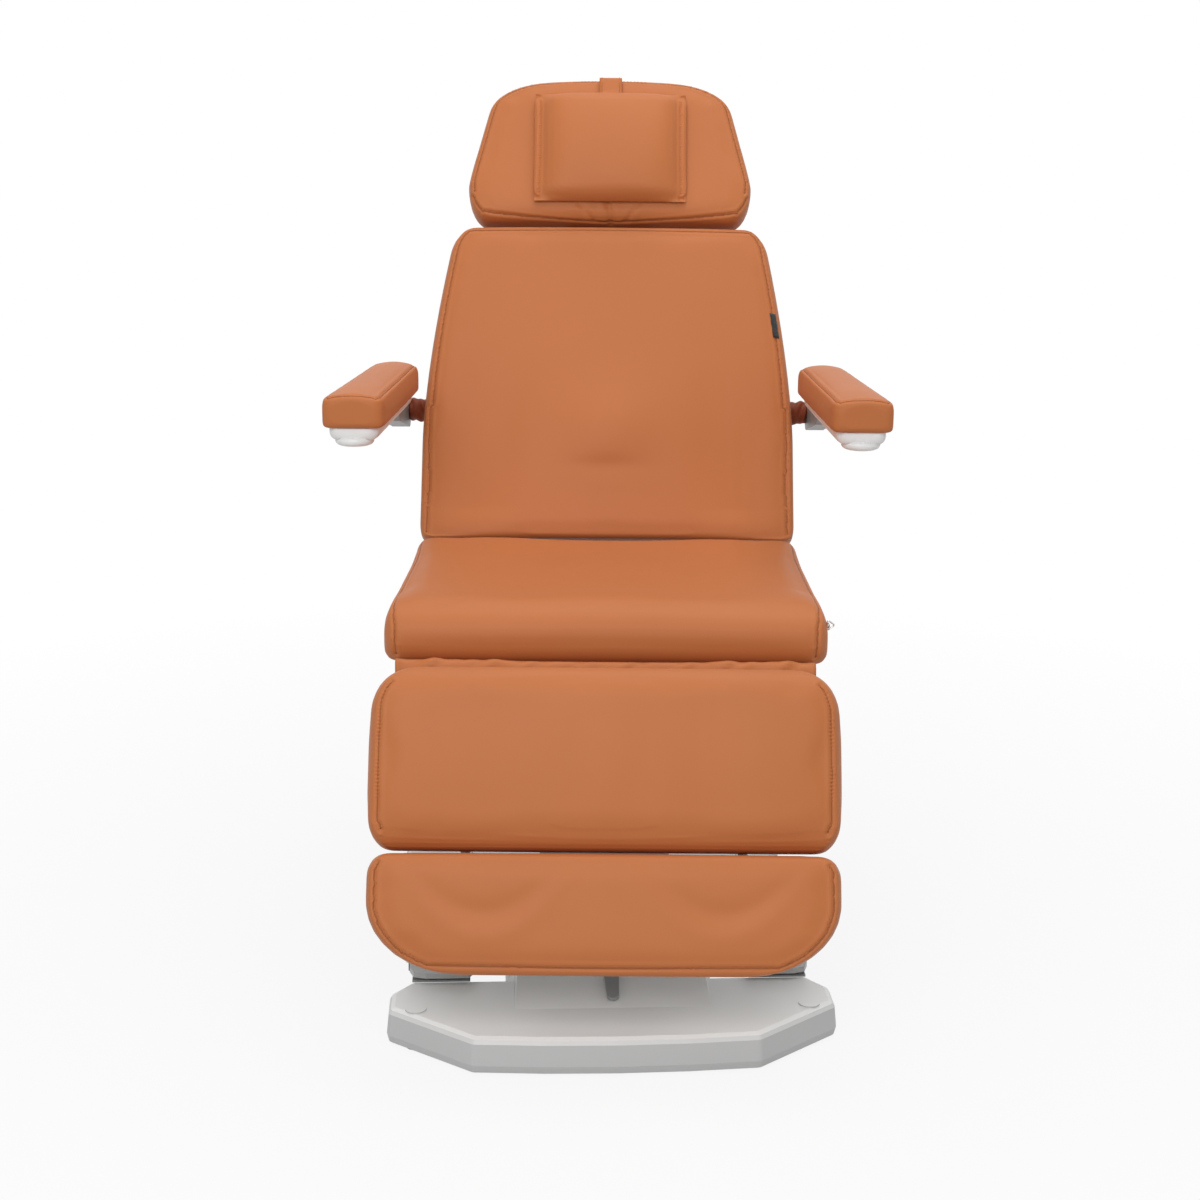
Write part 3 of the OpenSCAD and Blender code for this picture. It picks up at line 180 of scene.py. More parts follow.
def caps(rings, sides):
    """The two end faces of such a stack of rings."""
    return [tuple(range(sides))[::-1], tuple(range((rings - 1) * sides, rings * sides))]


def grid(rows, cols):
    """Faces of an open sheet of rows by cols cells."""
    wide = cols + 1
    return [(j * wide + i, (j + 1) * wide + i, (j + 1) * wide + i + 1, j * wide + i + 1)
            for j in range(rows) for i in range(cols)]


def shifted(faces, count):
    """The same faces on vertices that start at count."""
    return [tuple(i + count for i in face) for face in faces]


def add_mesh(name, verts, faces, smooth=True):
    mesh = bpy.data.meshes.new(name)
    mesh.from_pydata([tuple(v) for v in verts], [], [tuple(f) for f in faces])
    mesh.polygons.foreach_set("use_smooth", [smooth] * len(mesh.polygons))
    mesh.update()
    obj = bpy.data.objects.new(name, mesh)
    scene.collection.objects.link(obj)
    return obj


def baked(obj):
    """Replaces an object's mesh by what its modifiers make of it."""
    graph = bpy.context.evaluated_depsgraph_get()
    mesh = bpy.data.meshes.new_from_object(obj.evaluated_get(graph))
    obj.modifiers.clear()
    old, obj.data = obj.data, mesh
    bpy.data.meshes.remove(old)
    return obj


def thickened(obj, thickness, offset=-1):
    """Gives an open sheet its thickness."""
    solid = obj.modifiers.new("thickness", "SOLIDIFY")
    solid.thickness, solid.offset = thickness, offset
    return baked(obj)


def coords(mesh):
    out = np.empty(len(mesh.vertices) * 3)
    mesh.vertices.foreach_get("co", out)
    return out.reshape(-1, 3)


def set_coords(mesh, points):
    mesh.vertices.foreach_set("co", np.ascontiguousarray(points).ravel())
    mesh.update()


def normals(mesh):
    out = np.empty(len(mesh.vertices) * 3)
    mesh.vertices.foreach_get("normal", out)
    return out.reshape(-1, 3)


# Materials

def material(name, color, roughness, **inputs):
    mat = bpy.data.materials.new(name)
    mat.use_nodes = True
    shader = mat.node_tree.nodes["Principled BSDF"]
    shader.inputs["Base Color"].default_value = (*color, 1)
    shader.inputs["Roughness"].default_value = roughness
    for key, value in inputs.items():
        shader.inputs[key.replace("_", " ")].default_value = value
    return mat


def texture(mat, kind, scale, stretch=None, **settings):
    """A texture node on object coordinates, stretched where the grain runs one way."""
    nodes, links = mat.node_tree.nodes, mat.node_tree.links
    place = nodes.get("Place") or nodes.new("ShaderNodeTexCoord")
    place.name = "Place"
    node = nodes.new("ShaderNodeTex" + kind)
    node.inputs["Scale"].default_value = scale
    for key, value in settings.items():
        node.inputs[key].default_value = value
    source = place.outputs["Object"]
    if stretch:
        shape = nodes.new("ShaderNodeMapping")
        shape.inputs["Scale"].default_value = stretch
        links.new(source, shape.inputs["Vector"])
        source = shape.outputs["Vector"]
    links.new(source, node.inputs["Vector"])
    return node


def tint(mat, source, dark, light, low=0.35, high=0.65):
    """Colour runs from dark to light as a texture goes from low to high."""
    nodes, links = mat.node_tree.nodes, mat.node_tree.links
    ramp = nodes.new("ShaderNodeValToRGB")
    for stop, place, color in zip(ramp.color_ramp.elements, (low, high), (dark, light)):
        stop.position, stop.color = place, (*color, 1)
    links.new(source, ramp.inputs["Fac"])
    links.new(ramp.outputs["Color"], nodes["Principled BSDF"].inputs["Base Color"])


def mottled(mat, source, color, darker, lighter):
    """A colour that varies a little about itself, by shares of it."""
    tint(mat, source, [c * (1 - darker) for c in color], [c * (1 + lighter) for c in color])


def shine(mat, source, low, high):
    """Roughness runs from low to high with a texture."""
    nodes, links = mat.node_tree.nodes, mat.node_tree.links
    spread = nodes.new("ShaderNodeMapRange")
    spread.inputs["To Min"].default_value, spread.inputs["To Max"].default_value = low, high
    links.new(source, spread.inputs["Value"])
    links.new(spread.outputs["Result"], nodes["Principled BSDF"].inputs["Roughness"])


def bump(mat, *layers):
    """Each layer is a texture output with its strength and its height in metres."""
    nodes, links = mat.node_tree.nodes, mat.node_tree.links
    last = None
    for source, strength, height in layers:
        node = nodes.new("ShaderNodeBump")
        node.inputs["Strength"].default_value = strength
        node.inputs["Distance"].default_value = height
        links.new(source, node.inputs["Height"])
        if last:
            links.new(last.outputs["Normal"], node.inputs["Normal"])
        last = node
    links.new(last.outputs["Normal"], nodes["Principled BSDF"].inputs["Normal"])


def leather(name, color, spread=0.02):
    """Upholstery vinyl: fine grain, pores, faint creases and a slight mottle."""
    mat = material(name, color, 0.5, Specular_IOR_Level=0.24, Sheen_Weight=0.03,
                   Sheen_Roughness=0.4)
    grain = texture(mat, "Voronoi", 620)
    pores = texture(mat, "Noise", 1500, Detail=3, Roughness=0.6)
    mottle = texture(mat, "Noise", 3.5, Detail=3, Roughness=0.5)
    creases = texture(mat, "Noise", 60, Detail=5, Roughness=0.65)
    mottled(mat, mottle.outputs["Fac"], color, spread, spread)
    shine(mat, creases.outputs["Fac"], 0.46, 0.56)
    bump(mat, (grain.outputs["Distance"], 0.22, 0.0002), (pores.outputs["Fac"], 0.14, 0.00015),
         (creases.outputs["Fac"], 0.05, 0.0004))
    return mat


def plastic(name, color, roughness, grain=0.1, spread=0.02):
    """Moulded plastic with a fine grain."""
    mat = material(name, color, roughness, Specular_IOR_Level=0.45)
    cloud = texture(mat, "Noise", 9, Detail=3)
    skin = texture(mat, "Noise", 1100, Detail=2)
    mottled(mat, cloud.outputs["Fac"], color, spread, spread / 2)
    shine(mat, cloud.outputs["Fac"], roughness - 0.05, roughness + 0.06)
    bump(mat, (skin.outputs["Fac"], grain, 0.0002))
    return mat


def moulded(name, top, side, roughness):
    """White cover plastic with painted light and shade: lighter on top and a shade greyer on its
    upright faces, by each face's normal.
    """
    mat = plastic(name, top, roughness)
    nodes, links = mat.node_tree.nodes, mat.node_tree.links
    # Painted shade: the colour runs from the grey of the upright faces to the light of the top as
    # the normal turns up
    way = nodes.new("ShaderNodeNewGeometry")
    parts = nodes.new("ShaderNodeSeparateXYZ")
    links.new(way.outputs["Normal"], parts.inputs["Vector"])
    tint(mat, parts.outputs["Z"], side, top, 0.3, 0.8)
    return mat


def metal(name, color, roughness, brushed=0.0, coat=False):
    """Bare metal, or a powder coat on it."""
    mat = material(name, color, roughness, Metallic=0.0 if coat else 1.0)
    cloud = texture(mat, "Noise", 14, Detail=5, Roughness=0.65)
    fine = texture(mat, "Noise", 900 if coat else 260, Detail=4)
    mottled(mat, cloud.outputs["Fac"], color, 0.07, 0.04)
    shine(mat, cloud.outputs["Fac"], roughness - 0.05, roughness + 0.1)
    bump(mat, (fine.outputs["Fac"], 0.12 + brushed, 0.0003 if coat else 0.0001))
    return mat


def plywood(name):
    """Birch plywood, its figure drawn out along the board."""
    mat = material(name, (0.56, 0.38, 0.2), 0.6)
    layers = texture(mat, "Noise", 9, (1, 14, 14), Detail=5, Roughness=0.6, Distortion=0.4)
    fibre = texture(mat, "Noise", 120, (0.2, 3, 3), Detail=4)
    tint(mat, layers.outputs["Fac"], (0.47, 0.32, 0.18), (0.57, 0.41, 0.25), 0.3, 0.7)
    bump(mat, (fibre.outputs["Fac"], 0.25, 0.0004))
    return mat


HIDE = (0.505, 0.162, 0.051)
upholstery = leather("upholstery", HIDE)
# The rod's sleeve: the upholstery's leather made darker, painted shade for the rod under the arms
sleeve = leather("sleeve_cloth", (0.26, 0.05, 0.016), 0.1)
# The piping: the upholstery a third darker, painted shade that draws each seam as a dark line
piping = leather("piping", [c * 0.68 for c in HIDE], 0.03)
thread = material("thread", [c * 0.8 for c in HIDE], 0.7, Sheen_Weight=0.1)
twist = texture(thread, "Wave", 900, Distortion=1.5)
bump(thread, (twist.outputs["Fac"], 0.4, 0.0002))
label = material("label", (0.012, 0.012, 0.013), 0.8, Sheen_Weight=0.3)
weave = texture(label, "Wave", 1200, Distortion=0.6)
bump(label, (weave.outputs["Fac"], 0.5, 0.0002))

SLOTS = {
    "upholstery": upholstery,
    "sleeve_cloth": sleeve,
    "white_plastic": plastic("white_plastic", (0.87, 0.875, 0.87), 0.36),
    "grey_plastic": plastic("grey_plastic", (0.33, 0.335, 0.335), 0.42, 0.25),
    "frame_steel": metal("frame_steel", (0.4, 0.41, 0.42), 0.45, coat=True),
    "bright_steel": metal("bright_steel", (0.62, 0.62, 0.61), 0.25, 0.05),
    "column_grey": metal("column_grey", (0.72, 0.73, 0.74), 0.34, 0.08),
    "black_plastic": plastic("black_plastic", (0.03, 0.03, 0.032), 0.48, 0.3, 0.1),
    "plywood": plywood("plywood"),
}
# Painted light on the base cover, hump and caps: the top lifted to near white, the upright faces
# given a painted grey shade
cover_plastic_painted_light = moulded("cover_plastic_painted_light", (0.95, 0.96, 0.955), (0.58, 0.585, 0.585), 0.4)


def finish(obj, mat, body):
    """Gives a piece its material and the body that it rides on."""
    obj.data.materials.clear()
    obj.data.materials.append(mat)
    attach(obj, body)
    return obj


# Padded pieces. A pad's own frame has X across, Y along from its first end, and Z from its board to
# its face. Its spec gives its length, the (top, bottom) roundings of its two ends and of its sides,
# and, as functions, its half width along Y and the height of its face.

def arc(n):
    """Angles from 0 to a right angle in n steps."""
    return [math.pi / 2 * k / n for k in range(n + 1)]


def stations(p):
    """Places along a pad, close together where its ends round over."""
    (t0, b0), (t1, b1) = p["ends"]
    r0, r1 = max(t0, b0, p.get("lead", 0)), max(t1, b1, p.get("tail", 0))
    steps = max(6, int((p["length"] - r0 - r1) / STATION_STEP))
    return ([r0 * (1 - math.cos(a)) for a in arc(END_STEPS)]
            + [r0 + (p["length"] - r0 - r1) * k / steps for k in range(1, steps)]
            + [p["length"] - r1 * (1 - math.cos(a)) for a in reversed(arc(END_STEPS))])


def rounding(d, r):
    """How far a surface falls at distance d from an edge rounded to r."""
    return 0 if d >= r else r * (1 - math.sqrt(max(0, 1 - (1 - d / r) ** 2)))


def pad_form(p):
    """The closed form of a pad in its own frame: crowned, with soft shoulders and rounded ends."""
    (t0, b0), (t1, b1) = p["ends"]
    shoulder, heel = p["sides"]
    rings = []
    for y in stations(p):
        h, c = p["half"](y), p.get("mid", lambda y: 0)(y)
        rest = p["length"] - y
        low = rounding(y, b0) + rounding(rest, b1)
        drop = rounding(y, t0) + rounding(rest, t1)

        def top(u):
            return max(low + THINNEST, p["top"](u, y) - drop)

        edge = top(1)
        up = min(p.get("drop", shoulder), (edge - low) * SHOULDER_SHARE)
        down = min(heel, (edge - low) * p.get("deep", HEEL_SHARE))
        side = ([(h - heel * (1 - math.sin(a)), low + down * (1 - math.cos(a)))
                 for a in arc(HEEL_STEPS)]
                + [(h - shoulder * (1 - math.cos(a)), edge - up * (1 - math.sin(a)))
                   for a in arc(SHOULDER_STEPS)])
        spread = [k / FACE_STEPS for k in range(1 - FACE_STEPS, FACE_STEPS)]
        rings.append([(c - x, y, z) for x, z in side]
                     + [(c + (h - shoulder) * u, y, top(u)) for u in spread]
                     + [(c + x, y, z) for x, z in reversed(side)])
    verts = [v for ring in rings for v in ring]
    size = len(rings), len(rings[0])
    return verts, walls(*size) + caps(*size)


def evened(mesh, values, rounds):
    """Averages each vertex's value with its neighbours', which takes out small wrinkles."""
    ends = np.empty(len(mesh.edges) * 2, dtype=int)
    mesh.edges.foreach_get("vertices", ends)
    a, b = ends.reshape(-1, 2).T
    size = len(values)
    count = np.bincount(a, minlength=size) + np.bincount(b, minlength=size)
    for _ in range(rounds):
        near = (np.bincount(a, values[b], size) + np.bincount(b, values[a], size)) / count
        values = 0.5 * values + 0.5 * near
    return values


def inflate(obj, p):
    """Swells the cover over the foam: pressure from inside, held to a few millimetres."""
    voxel = obj.modifiers.new("remesh", "REMESH")
    voxel.mode, voxel.voxel_size = "VOXEL", p.get("voxel", VOXEL)
    baked(obj)
    mesh = obj.data
    before = coords(mesh)
    pins = obj.vertex_groups.new(name="board")
    pins.add([i for i, v in enumerate(before) if v[2] < STAPLED_BELOW], 1, "REPLACE")
    cloth = obj.modifiers.new("cloth", "CLOTH")
    settings = cloth.settings
    settings.use_pressure, settings.uniform_pressure_force = True, PRESSURE
    settings.mass, settings.quality = COVER_MASS, QUALITY
    settings.tension_stiffness = settings.compression_stiffness = STIFFNESS
    settings.shear_stiffness, settings.bending_stiffness = STIFFNESS, BENDING
    settings.vertex_group_mass = "board"
    settings.effector_weights.gravity = 0
    cloth.collision_settings.use_collision = False
    scene.frame_start, scene.frame_end = 1, SWELL_FRAMES
    for k in range(1, SWELL_FRAMES + 1):
        scene.frame_set(k)
    graph = bpy.context.evaluated_depsgraph_get()
    after = coords(obj.evaluated_get(graph).data)
    obj.modifiers.clear()
    obj.vertex_groups.clear()
    scene.frame_set(1)
    outward = normals(mesh)
    swell = np.clip(((after - before) * outward).sum(axis=1), 0, p.get("cap", SWELL_CAP))
    set_coords(mesh, before + evened(mesh, swell, EVEN_ROUNDS)[:, None] * outward)


def confine(p, points):
    """Keeps the swollen pad between its neighbours and on its board."""
    before, beyond = p.get("out", (0, 0))
    points[:, 1] = np.clip(points[:, 1], -before, p["length"] + beyond)
    points[:, 2] = np.maximum(points[:, 2], 0)
    low = points[:, 2] < p.get("short_below", 0)
    points[low, 1] = np.minimum(points[low, 1], p["length"] - CUT_SHORT)
    widest = max(p["half"](p["length"] * k / 40) for k in range(41)) + PROUD
    if "mid" not in p:
        points[:, 0] = np.clip(points[:, 0], -widest, widest)
    return points


class Surface:
    """A pad's surface in its own frame, for laying seams on it."""

    def __init__(self, mesh):
        self.tree = BVHTree.FromPolygons([v.co for v in mesh.vertices],
                                         [f.vertices for f in mesh.polygons])

    def nearest(self, point):
        place, normal, _, _ = self.tree.find_nearest(Vector(point))
        return place, normal

    def lay(self, path):
        """Points and normals on the surface along a path."""
        out = []
        path = [Vector(q) for q in path]
        for a, b in zip(path, path[1:]):
            n = max(1, int((b - a).length / SEAM_STEP))
            out += [self.nearest(a.lerp(b, k / n)) for k in range(n)]
        return out + [self.nearest(path[-1])]


def groove(points, normal, line, depth, width):
    """Draws the cover in along a seam and lets it swell a little beside it."""
    tree = KDTree(len(line))
    for i, (place, _) in enumerate(line):
        tree.insert(place, i)
    tree.balance()
    reach = 4 * width
    lo = np.min([q for q, _ in line], axis=0) - reach
    hi = np.max([q for q, _ in line], axis=0) + reach
    near = np.nonzero(np.all((points > lo) & (points < hi), axis=1))[0]
    for i in near:
        d = tree.find(points[i])[2]
        if d < reach:
            beside = SWELL_SHARE * hill(d - SWELL_AT * width, SWELL_WIDTH * width)
            points[i] -= normal[i] * depth * (hill(d, width) - beside)


def tube(points, radius, sides=6):
    """Vertices and faces of a round cord along laid points."""
    verts = []
    n = len(points)
    for i, (place, normal) in enumerate(points):
        a, b = points[max(0, i - 1)][0], points[min(n - 1, i + 1)][0]
        along = (b - a).normalized() if (b - a).length > 1e-7 else Vector((0, 1, 0))
        across = along.cross(normal).normalized()
        out = across.cross(along)
        for k in range(sides):
            t = 2 * math.pi * k / sides
            verts.append(place + (across * math.cos(t) + out * math.sin(t)) * radius)
    return verts, walls(n, sides) + caps(n, sides)


def stitches(points, offset):
    """Short thread loops beside a seam, each sunk at both ends."""
    verts, faces = [], []
    travelled = 0
    for (a, normal), (b, _) in zip(points, points[1:]):
        travelled += (b - a).length
        if travelled < STITCH_PITCH:
            continue
        travelled = 0
        along = (b - a).normalized()
        across = along.cross(normal).normalized()
        base = a + across * offset
        faces += walls(len(STITCH_LINE), THREAD_SIDES, len(verts))
        for t, lift in STITCH_LINE:
            centre = base + along * (t * STITCH_LEN) + normal * lift
            for k in range(THREAD_SIDES):
                s = 2 * math.pi * k / THREAD_SIDES
                verts.append(centre + (across * math.cos(s) + normal * math.sin(s)) * THREAD_R)
    return verts, faces


def sunk(surface, point):
    """A stitch's point, drawn most of the way down to the cover."""
    under = surface.nearest(point)[0]
    return under + (point - under) * STITCH_SHOWS


def seam_parts(surface, seams):
    """The piping and the thread of a pad's seams, each as vertices and faces."""
    verts, faces, cord_v, cord_f = [], [], [], []
    for seam, line in seams:
        laid = [surface.nearest(q) for q, _ in line]
        if seam.get("piping", PIPING_R):
            v, f = tube(laid, seam.get("piping", PIPING_R))
            cord_f += shifted(f, len(cord_v))
            cord_v += v
        for side in seam.get("stitch", (STITCH_ASIDE,)):
            v, f = stitches([surface.nearest(q) for q, _ in laid], side)
            faces += shifted(f, len(verts))
            verts += [sunk(surface, q) for q in v]
    return (("piping", cord_v, cord_f, piping), ("stitching", verts, faces, thread))


def make_pad(p):
    """Models one pad: form, swelling, relief, seams, creases, piping and stitching."""
    obj = add_mesh(p["name"], *pad_form(p))
    inflate(obj, p)
    set_coords(obj.data, confine(p, coords(obj.data)))
    obj.modifiers.new("fine", "SUBSURF").levels = 1
    baked(obj)
    points, normal = coords(obj.data), normals(obj.data)
    if "relief" in p:
        push = np.array([p["relief"](x, y) for x, y, _ in points])
        points[:, 2] += push * np.clip(normal[:, 2], 0, 1)
        set_coords(obj.data, points)
    surface = Surface(obj.data)
    normal = normals(obj.data)
    seams = [(seam, surface.lay(seam["path"])) for seam in p["seams"]]
    for seam, line in seams:
        groove(points, normal, line, seam.get("depth", SEAM_DEPTH), seam.get("width", SEAM_WIDTH))
    for path, depth, width in p.get("creases", []):
        groove(points, normal, surface.lay(path), depth, width)
    confine(p, points)
    set_coords(obj.data, points)
    surface = Surface(obj.data)
    if "extra" in p:
        p["extra"](surface, p["frame"])
    parts = [obj]
    for suffix, verts, faces, mat in seam_parts(surface, seams):
        if verts:
            parts.append(add_mesh(p["name"] + "_" + suffix, verts, faces))
            parts[-1].data.materials.append(mat)
    for part in parts:
        part.data.transform(p["frame"])
        if p["frame"].determinant() < 0:
            part.data.flip_normals()
        part.data.update()
    finish(obj, upholstery, p["body"])
    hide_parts(*p["nodes"])
    for part in parts[1:]:
        finish(part, part.data.materials[0], p["body"])


def side_path(p, inset, y0, y1, z, n=48):
    """A seam path along a pad's right side, at an inset from its outline."""
    return [(p["half"](y0 + (y1 - y0) * k / n) - inset, y0 + (y1 - y0) * k / n, z)
            for k in range(n + 1)]


def mirrored(path):
    return [(-x, y, z) for x, y, z in path]


def both_sides(path):
    return [path, mirrored(path)]


def outline(p, inset, y0, y1, z):
    """A seam path round three sides: up one side, across the end at y1 and down the other."""
    right = side_path(p, inset, y0, y1, z)
    return right + mirrored(reversed(right))


# Seat: a waterfall front, shoulders that bulge past the side seams
seat = {
    "name": "seat_upholstery", "nodes": ["seat_cushion"], "body": "seat", "frame": ON_SEAT,
    "length": SEAT_LEN,
    "ends": ((0.046, 0.026), (0.007, 0.018)), "sides": (0.02, 0.018), "drop": 0.036,
    # The back frame's crank passes under the rear edge at full recline
    "out": (0.001, 0.004), "short_below": 0.05,
    "half": lambda y: PAD_W / 2 - SEAT_NARROW * y / SEAT_LEN - corner(y, (0.022, 0.034))
    - corner(SEAT_LEN - y, (0.006, 0.009)),
    "top": lambda u, y: SEAT_T - 0.003 - 0.003 * u * u - 0.004 * hill(u, 0.5) * y / SEAT_LEN
    + 0.003 * hill(y - 0.075, 0.05)
    + (0.008 + 0.002 * hill(abs(u) - 0.6, 0.2)) * hill(SEAT_LEN - y, 0.075),
    "relief": lambda x, y: -0.0022 * hill(abs(x) - 0.12, 0.07) * hill(y - 0.09, 0.045)
    + 0.0012 * math.sin(x * 21 + 1.2) * hill(y - 0.2, 0.16),
}
seat["seams"] = [{"path": path} for path in both_sides(
    [(0.3, 0.445, 0.08), (0.303, 0.2, 0.08), (0.304, 0.07, 0.08), (0.303, 0.03, 0.074),
     (0.302, 0.008, 0.058), (0.301, 0.0, 0.04), (0.298, 0.004, 0.016)])]

# Back: hollowed above the seat, a lumbar swell, hugging side seams
back = {
    "name": "back_upholstery", "nodes": ["back_cushion"], "body": "back",
    "frame": ON_BACK @ Matrix.Translation((0, BACK_START, BACK_DROP - BACK_T)),
    "length": BACK_LEN,
    "ends": ((0.008, 0.005), (0.011, 0.008)), "sides": (0.014, 0.012), "drop": 0.03,
    "out": (0, 0.003),
    "half": lambda y: BACK_W / 2 - 0.0005
    - corner(y, (0.012, 0.02)) - corner(BACK_LEN - y, (0.03, 0.04))
    - BACK_TAPER * (max(0, y - BACK_STRAIGHT) / (BACK_LEN - BACK_STRAIGHT)) ** 1.6,
    "top": lambda u, y: BACK_T - 0.0035 - 0.005 * u * u
    + (0.013 * hill(u, 0.36) * hill(y - 0.185, 0.085)
       - 0.008 * hill(abs(u) - 0.74, 0.2) * hill(y - 0.1, 0.15))
    * min(1, y / 0.05, (BACK_LEN - y) / 0.05),
    "relief": lambda x, y: -0.0028 * hill(x, 0.06) * hill(y - 0.118, 0.016)
    + 0.004 * hill(x, 0.06) * hill(y - 0.18, 0.05)
    - 0.0022 * hill(abs(x) - 0.17, 0.035) * hill(y - 0.19, 0.12)
    - 0.015 * hill(abs(x) - 0.3, 0.08) * hill(y - 0.1, 0.17),
}
back["seams"] = [{"path": outline(back, 0.0115, 0.012, BACK_LEN - 0.006, BACK_T - 0.004)}]

# Head: a trapezoid with a folded lower band
head = {
    "name": "head_upholstery", "nodes": ["head_cushion"], "body": "head",
    "frame": ON_BACK @ Matrix.Translation((0, HEAD_START, BACK_DROP - HEAD_T)),
    "length": HEAD_LEN,
    "ends": ((0.02, 0.004), (0.014, 0.012)), "sides": (0.016, 0.012), "drop": 0.028,
    "cap": 0.003, "out": (0.002, 0), "lead": 0.05, "tail": 0.05,
    "half": lambda y: HEAD_W / 2 - 0.25 * max(0, y - HEAD_STRAIGHT) - corner(y, (0.034, 0.068))
    - corner(HEAD_LEN - y, (0.106, 0.05)),
    "top": lambda u, y: HEAD_T - 0.0035 - 0.008 * u * u,
    "relief": lambda x, y: -0.0022 * hill(x, 0.05) * hill(y - 0.03, 0.02)
    - 0.002 * hill(abs(x) - 0.15, 0.03) * hill(y - 0.12, 0.07),
}
band = [(0.237, 0.042, 0.054), (0.214, 0.016, 0.052), (0.12, 0.004, 0.054), (0.004, 0.0, 0.046)]
head["seams"] = [{"path": outline(head, 0.007, 0.05, HEAD_LEN - 0.004, HEAD_T - 0.01)},
                 {"path": band + mirrored(reversed(band))}]
head["creases"] = [([(0.002, 0.0, 0.04), (0.0, 0.012, 0.066), (-0.004, 0.03, 0.07)], 0.0026, 0.005),
                   ([(0.028, 0.004, 0.05), (0.05, 0.026, 0.07)], 0.0012, 0.004),
                   ([(-0.028, 0.004, 0.05), (-0.052, 0.024, 0.07)], 0.0012, 0.004)]

# Pillow: a stuffed sleeve, sewn down both sides, strapped over the headrest
pillow = {
    "name": "pillow_upholstery", "nodes": ["head_pillow"], "body": "head",
    "frame": ON_BACK @ Matrix.Translation((0, HEAD_START + PILLOW_START, BACK_DROP + SLIDE_GAP)),
    "length": PILLOW_LEN,
    "ends": ((0.022, 0.003), (0.02, 0.003)), "sides": (0.016, 0.003),
    "voxel": 0.004, "cap": 0.003, "fill": 0.75,
    "half": lambda y: PILLOW_W / 2 + 0.003 - 0.002 * math.sin(math.pi * y / PILLOW_LEN),
    "top": lambda u, y: (PILLOW_T - 0.002 - 0.025 * u ** 6 - 0.003 * u * u)
    * (1 - 0.35 * abs(2 * y / PILLOW_LEN - 1.1) ** 2.2),
    "relief": lambda x, y: 0.0012 * math.sin(x * 38 + y * 9) * hill(y - 0.02, 0.04),
}
SEAM_X, SEAM_ENDS = 0.1215, (0.012, PILLOW_LEN - 0.012)
pillow["seams"] = [{"path": path, "piping": 0, "depth": 0.0016, "width": 0.002, "stitch": (0.0,)}
                   for path in both_sides([(SEAM_X, y, pillow["top"](SEAM_X / pillow["half"](y), y))
                                           for y in np.linspace(*SEAM_ENDS, 24)])]

# Calf rest: rounded all over, with a shallow trough for each calf and a lower edge that rolls under
calf = {
    "name": "calf_upholstery", "nodes": ["calf_cushion"], "body": "leg",
    "frame": ON_LEG @ Matrix.Translation((0, CALF_START - CALF_LEN, LEG_DROP - LEG_T)),
    "length": CALF_LEN,
    "ends": ((0.038, 0.004), (0.03, 0.014)), "sides": (0.016, 0.014), "drop": 0.032,
    "out": (0.0015, 0), "lead": 0.045, "tail": 0.06,
    "half": lambda y: PAD_W / 2 - corner(y, (0.03, 0.045)) - corner(CALF_LEN - y, (0.058, 0.066)),
    "top": lambda u, y: LEG_T - 0.0035 - 0.006 * u * u
    - 0.004 * hill(abs(u) - 0.45, 0.2) * min(1, y / 0.05, (CALF_LEN - y) / 0.05),
    "relief": lambda x, y: -0.0015 * hill(abs(x) - 0.05, 0.03) * hill(y - 0.1, 0.08)
    - 0.011 * hill(y, 0.09),
}
calf["seams"] = [{"path": path} for path in
                 both_sides(side_path(calf, 0.011, 0.018, CALF_LEN - 0.02, LEG_T, 40))]

# Foot rest: a U with a boxing band and a crescent hollow for each heel
HEEL_X, HEEL_CURVE = 0.158, 6
foot = {
    "name": "foot_upholstery", "nodes": ["foot_cushion"], "body": "foot",
    "frame": ON_LEG @ Matrix.Translation((0, CALF_START - CALF_LEN - FOOT_GAP - FOOT_LEN,
                                          LEG_DROP - LEG_T)),
    "length": FOOT_LEN,
    "ends": ((0.01, 0.008), (0.01, 0.004)), "sides": (0.013, 0.012), "drop": 0.03,
    "out": (0, 0.0015), "lead": 0.09,
    "half": lambda y: PAD_W / 2 - 0.001 - corner(y, (0.128, 0.096))
    - corner(FOOT_LEN - y, (0.026, 0.03)),
    "top": lambda u, y: LEG_T - 0.0035 - 0.005 * u * u,
    "relief": lambda x, y: -0.0034 * hill(abs(x) - HEEL_X, 0.066)
    * hill(y - 0.08 - HEEL_CURVE * (abs(x) - HEEL_X) ** 2, 0.017)
    + 0.0014 * hill(abs(x) - HEEL_X, 0.08)
    * hill(y - 0.05 - HEEL_CURVE * (abs(x) - HEEL_X) ** 2, 0.018) - 0.003 * hill(y, 0.03),
}
foot["seams"] = [{"path": outline(foot, 0.0105, FOOT_LEN - 0.012, 0.009, LEG_T - 0.003)}]


def arm(side):
    """An arm pad, narrower at its rear, with one seam all round its top."""
    name = side_name(side)
    p = {
        "name": name + "_arm_upholstery", "nodes": [name + "_arm_pad"],
        "body": "arm_" + name, "frame": on_arm(side, ARM_H - ARM_T),
        "length": ARM_LEN,
        "ends": ((0.009, 0.008), (0.014, 0.006)), "sides": (0.008, 0.007), "drop": 0.014,
        "voxel": 0.004, "cap": 0.003,
        "half": lambda y: arm_half(y) + 0.001 * y / ARM_LEN - corner(y, (0.015, 0.017))
        - corner(ARM_LEN - y, (0.01, 0.012)),
        "mid": lambda y: arm_half(y) + ARM_TOE * (1 - y / ARM_LEN),
        "top": lambda u, y: ARM_T - 0.003 - 0.005 * u * u,
    }
    inset, start, end, points = 0.004, 0.004, ARM_LEN - 0.005, 30
    outer = [(p["mid"](y) + p["half"](y) - inset, y, ARM_T - inset)
             for y in np.linspace(start, end, points)]
    inner = [(p["mid"](y) - p["half"](y) + inset, y, ARM_T - inset)
             for y in np.linspace(end, start, points)]
    p["seams"] = [{"path": outer + inner + [outer[0]], "depth": 0.0016, "width": 0.0024,
                   "piping": 0.0009, "stitch": ()}]
    return p


# Trims

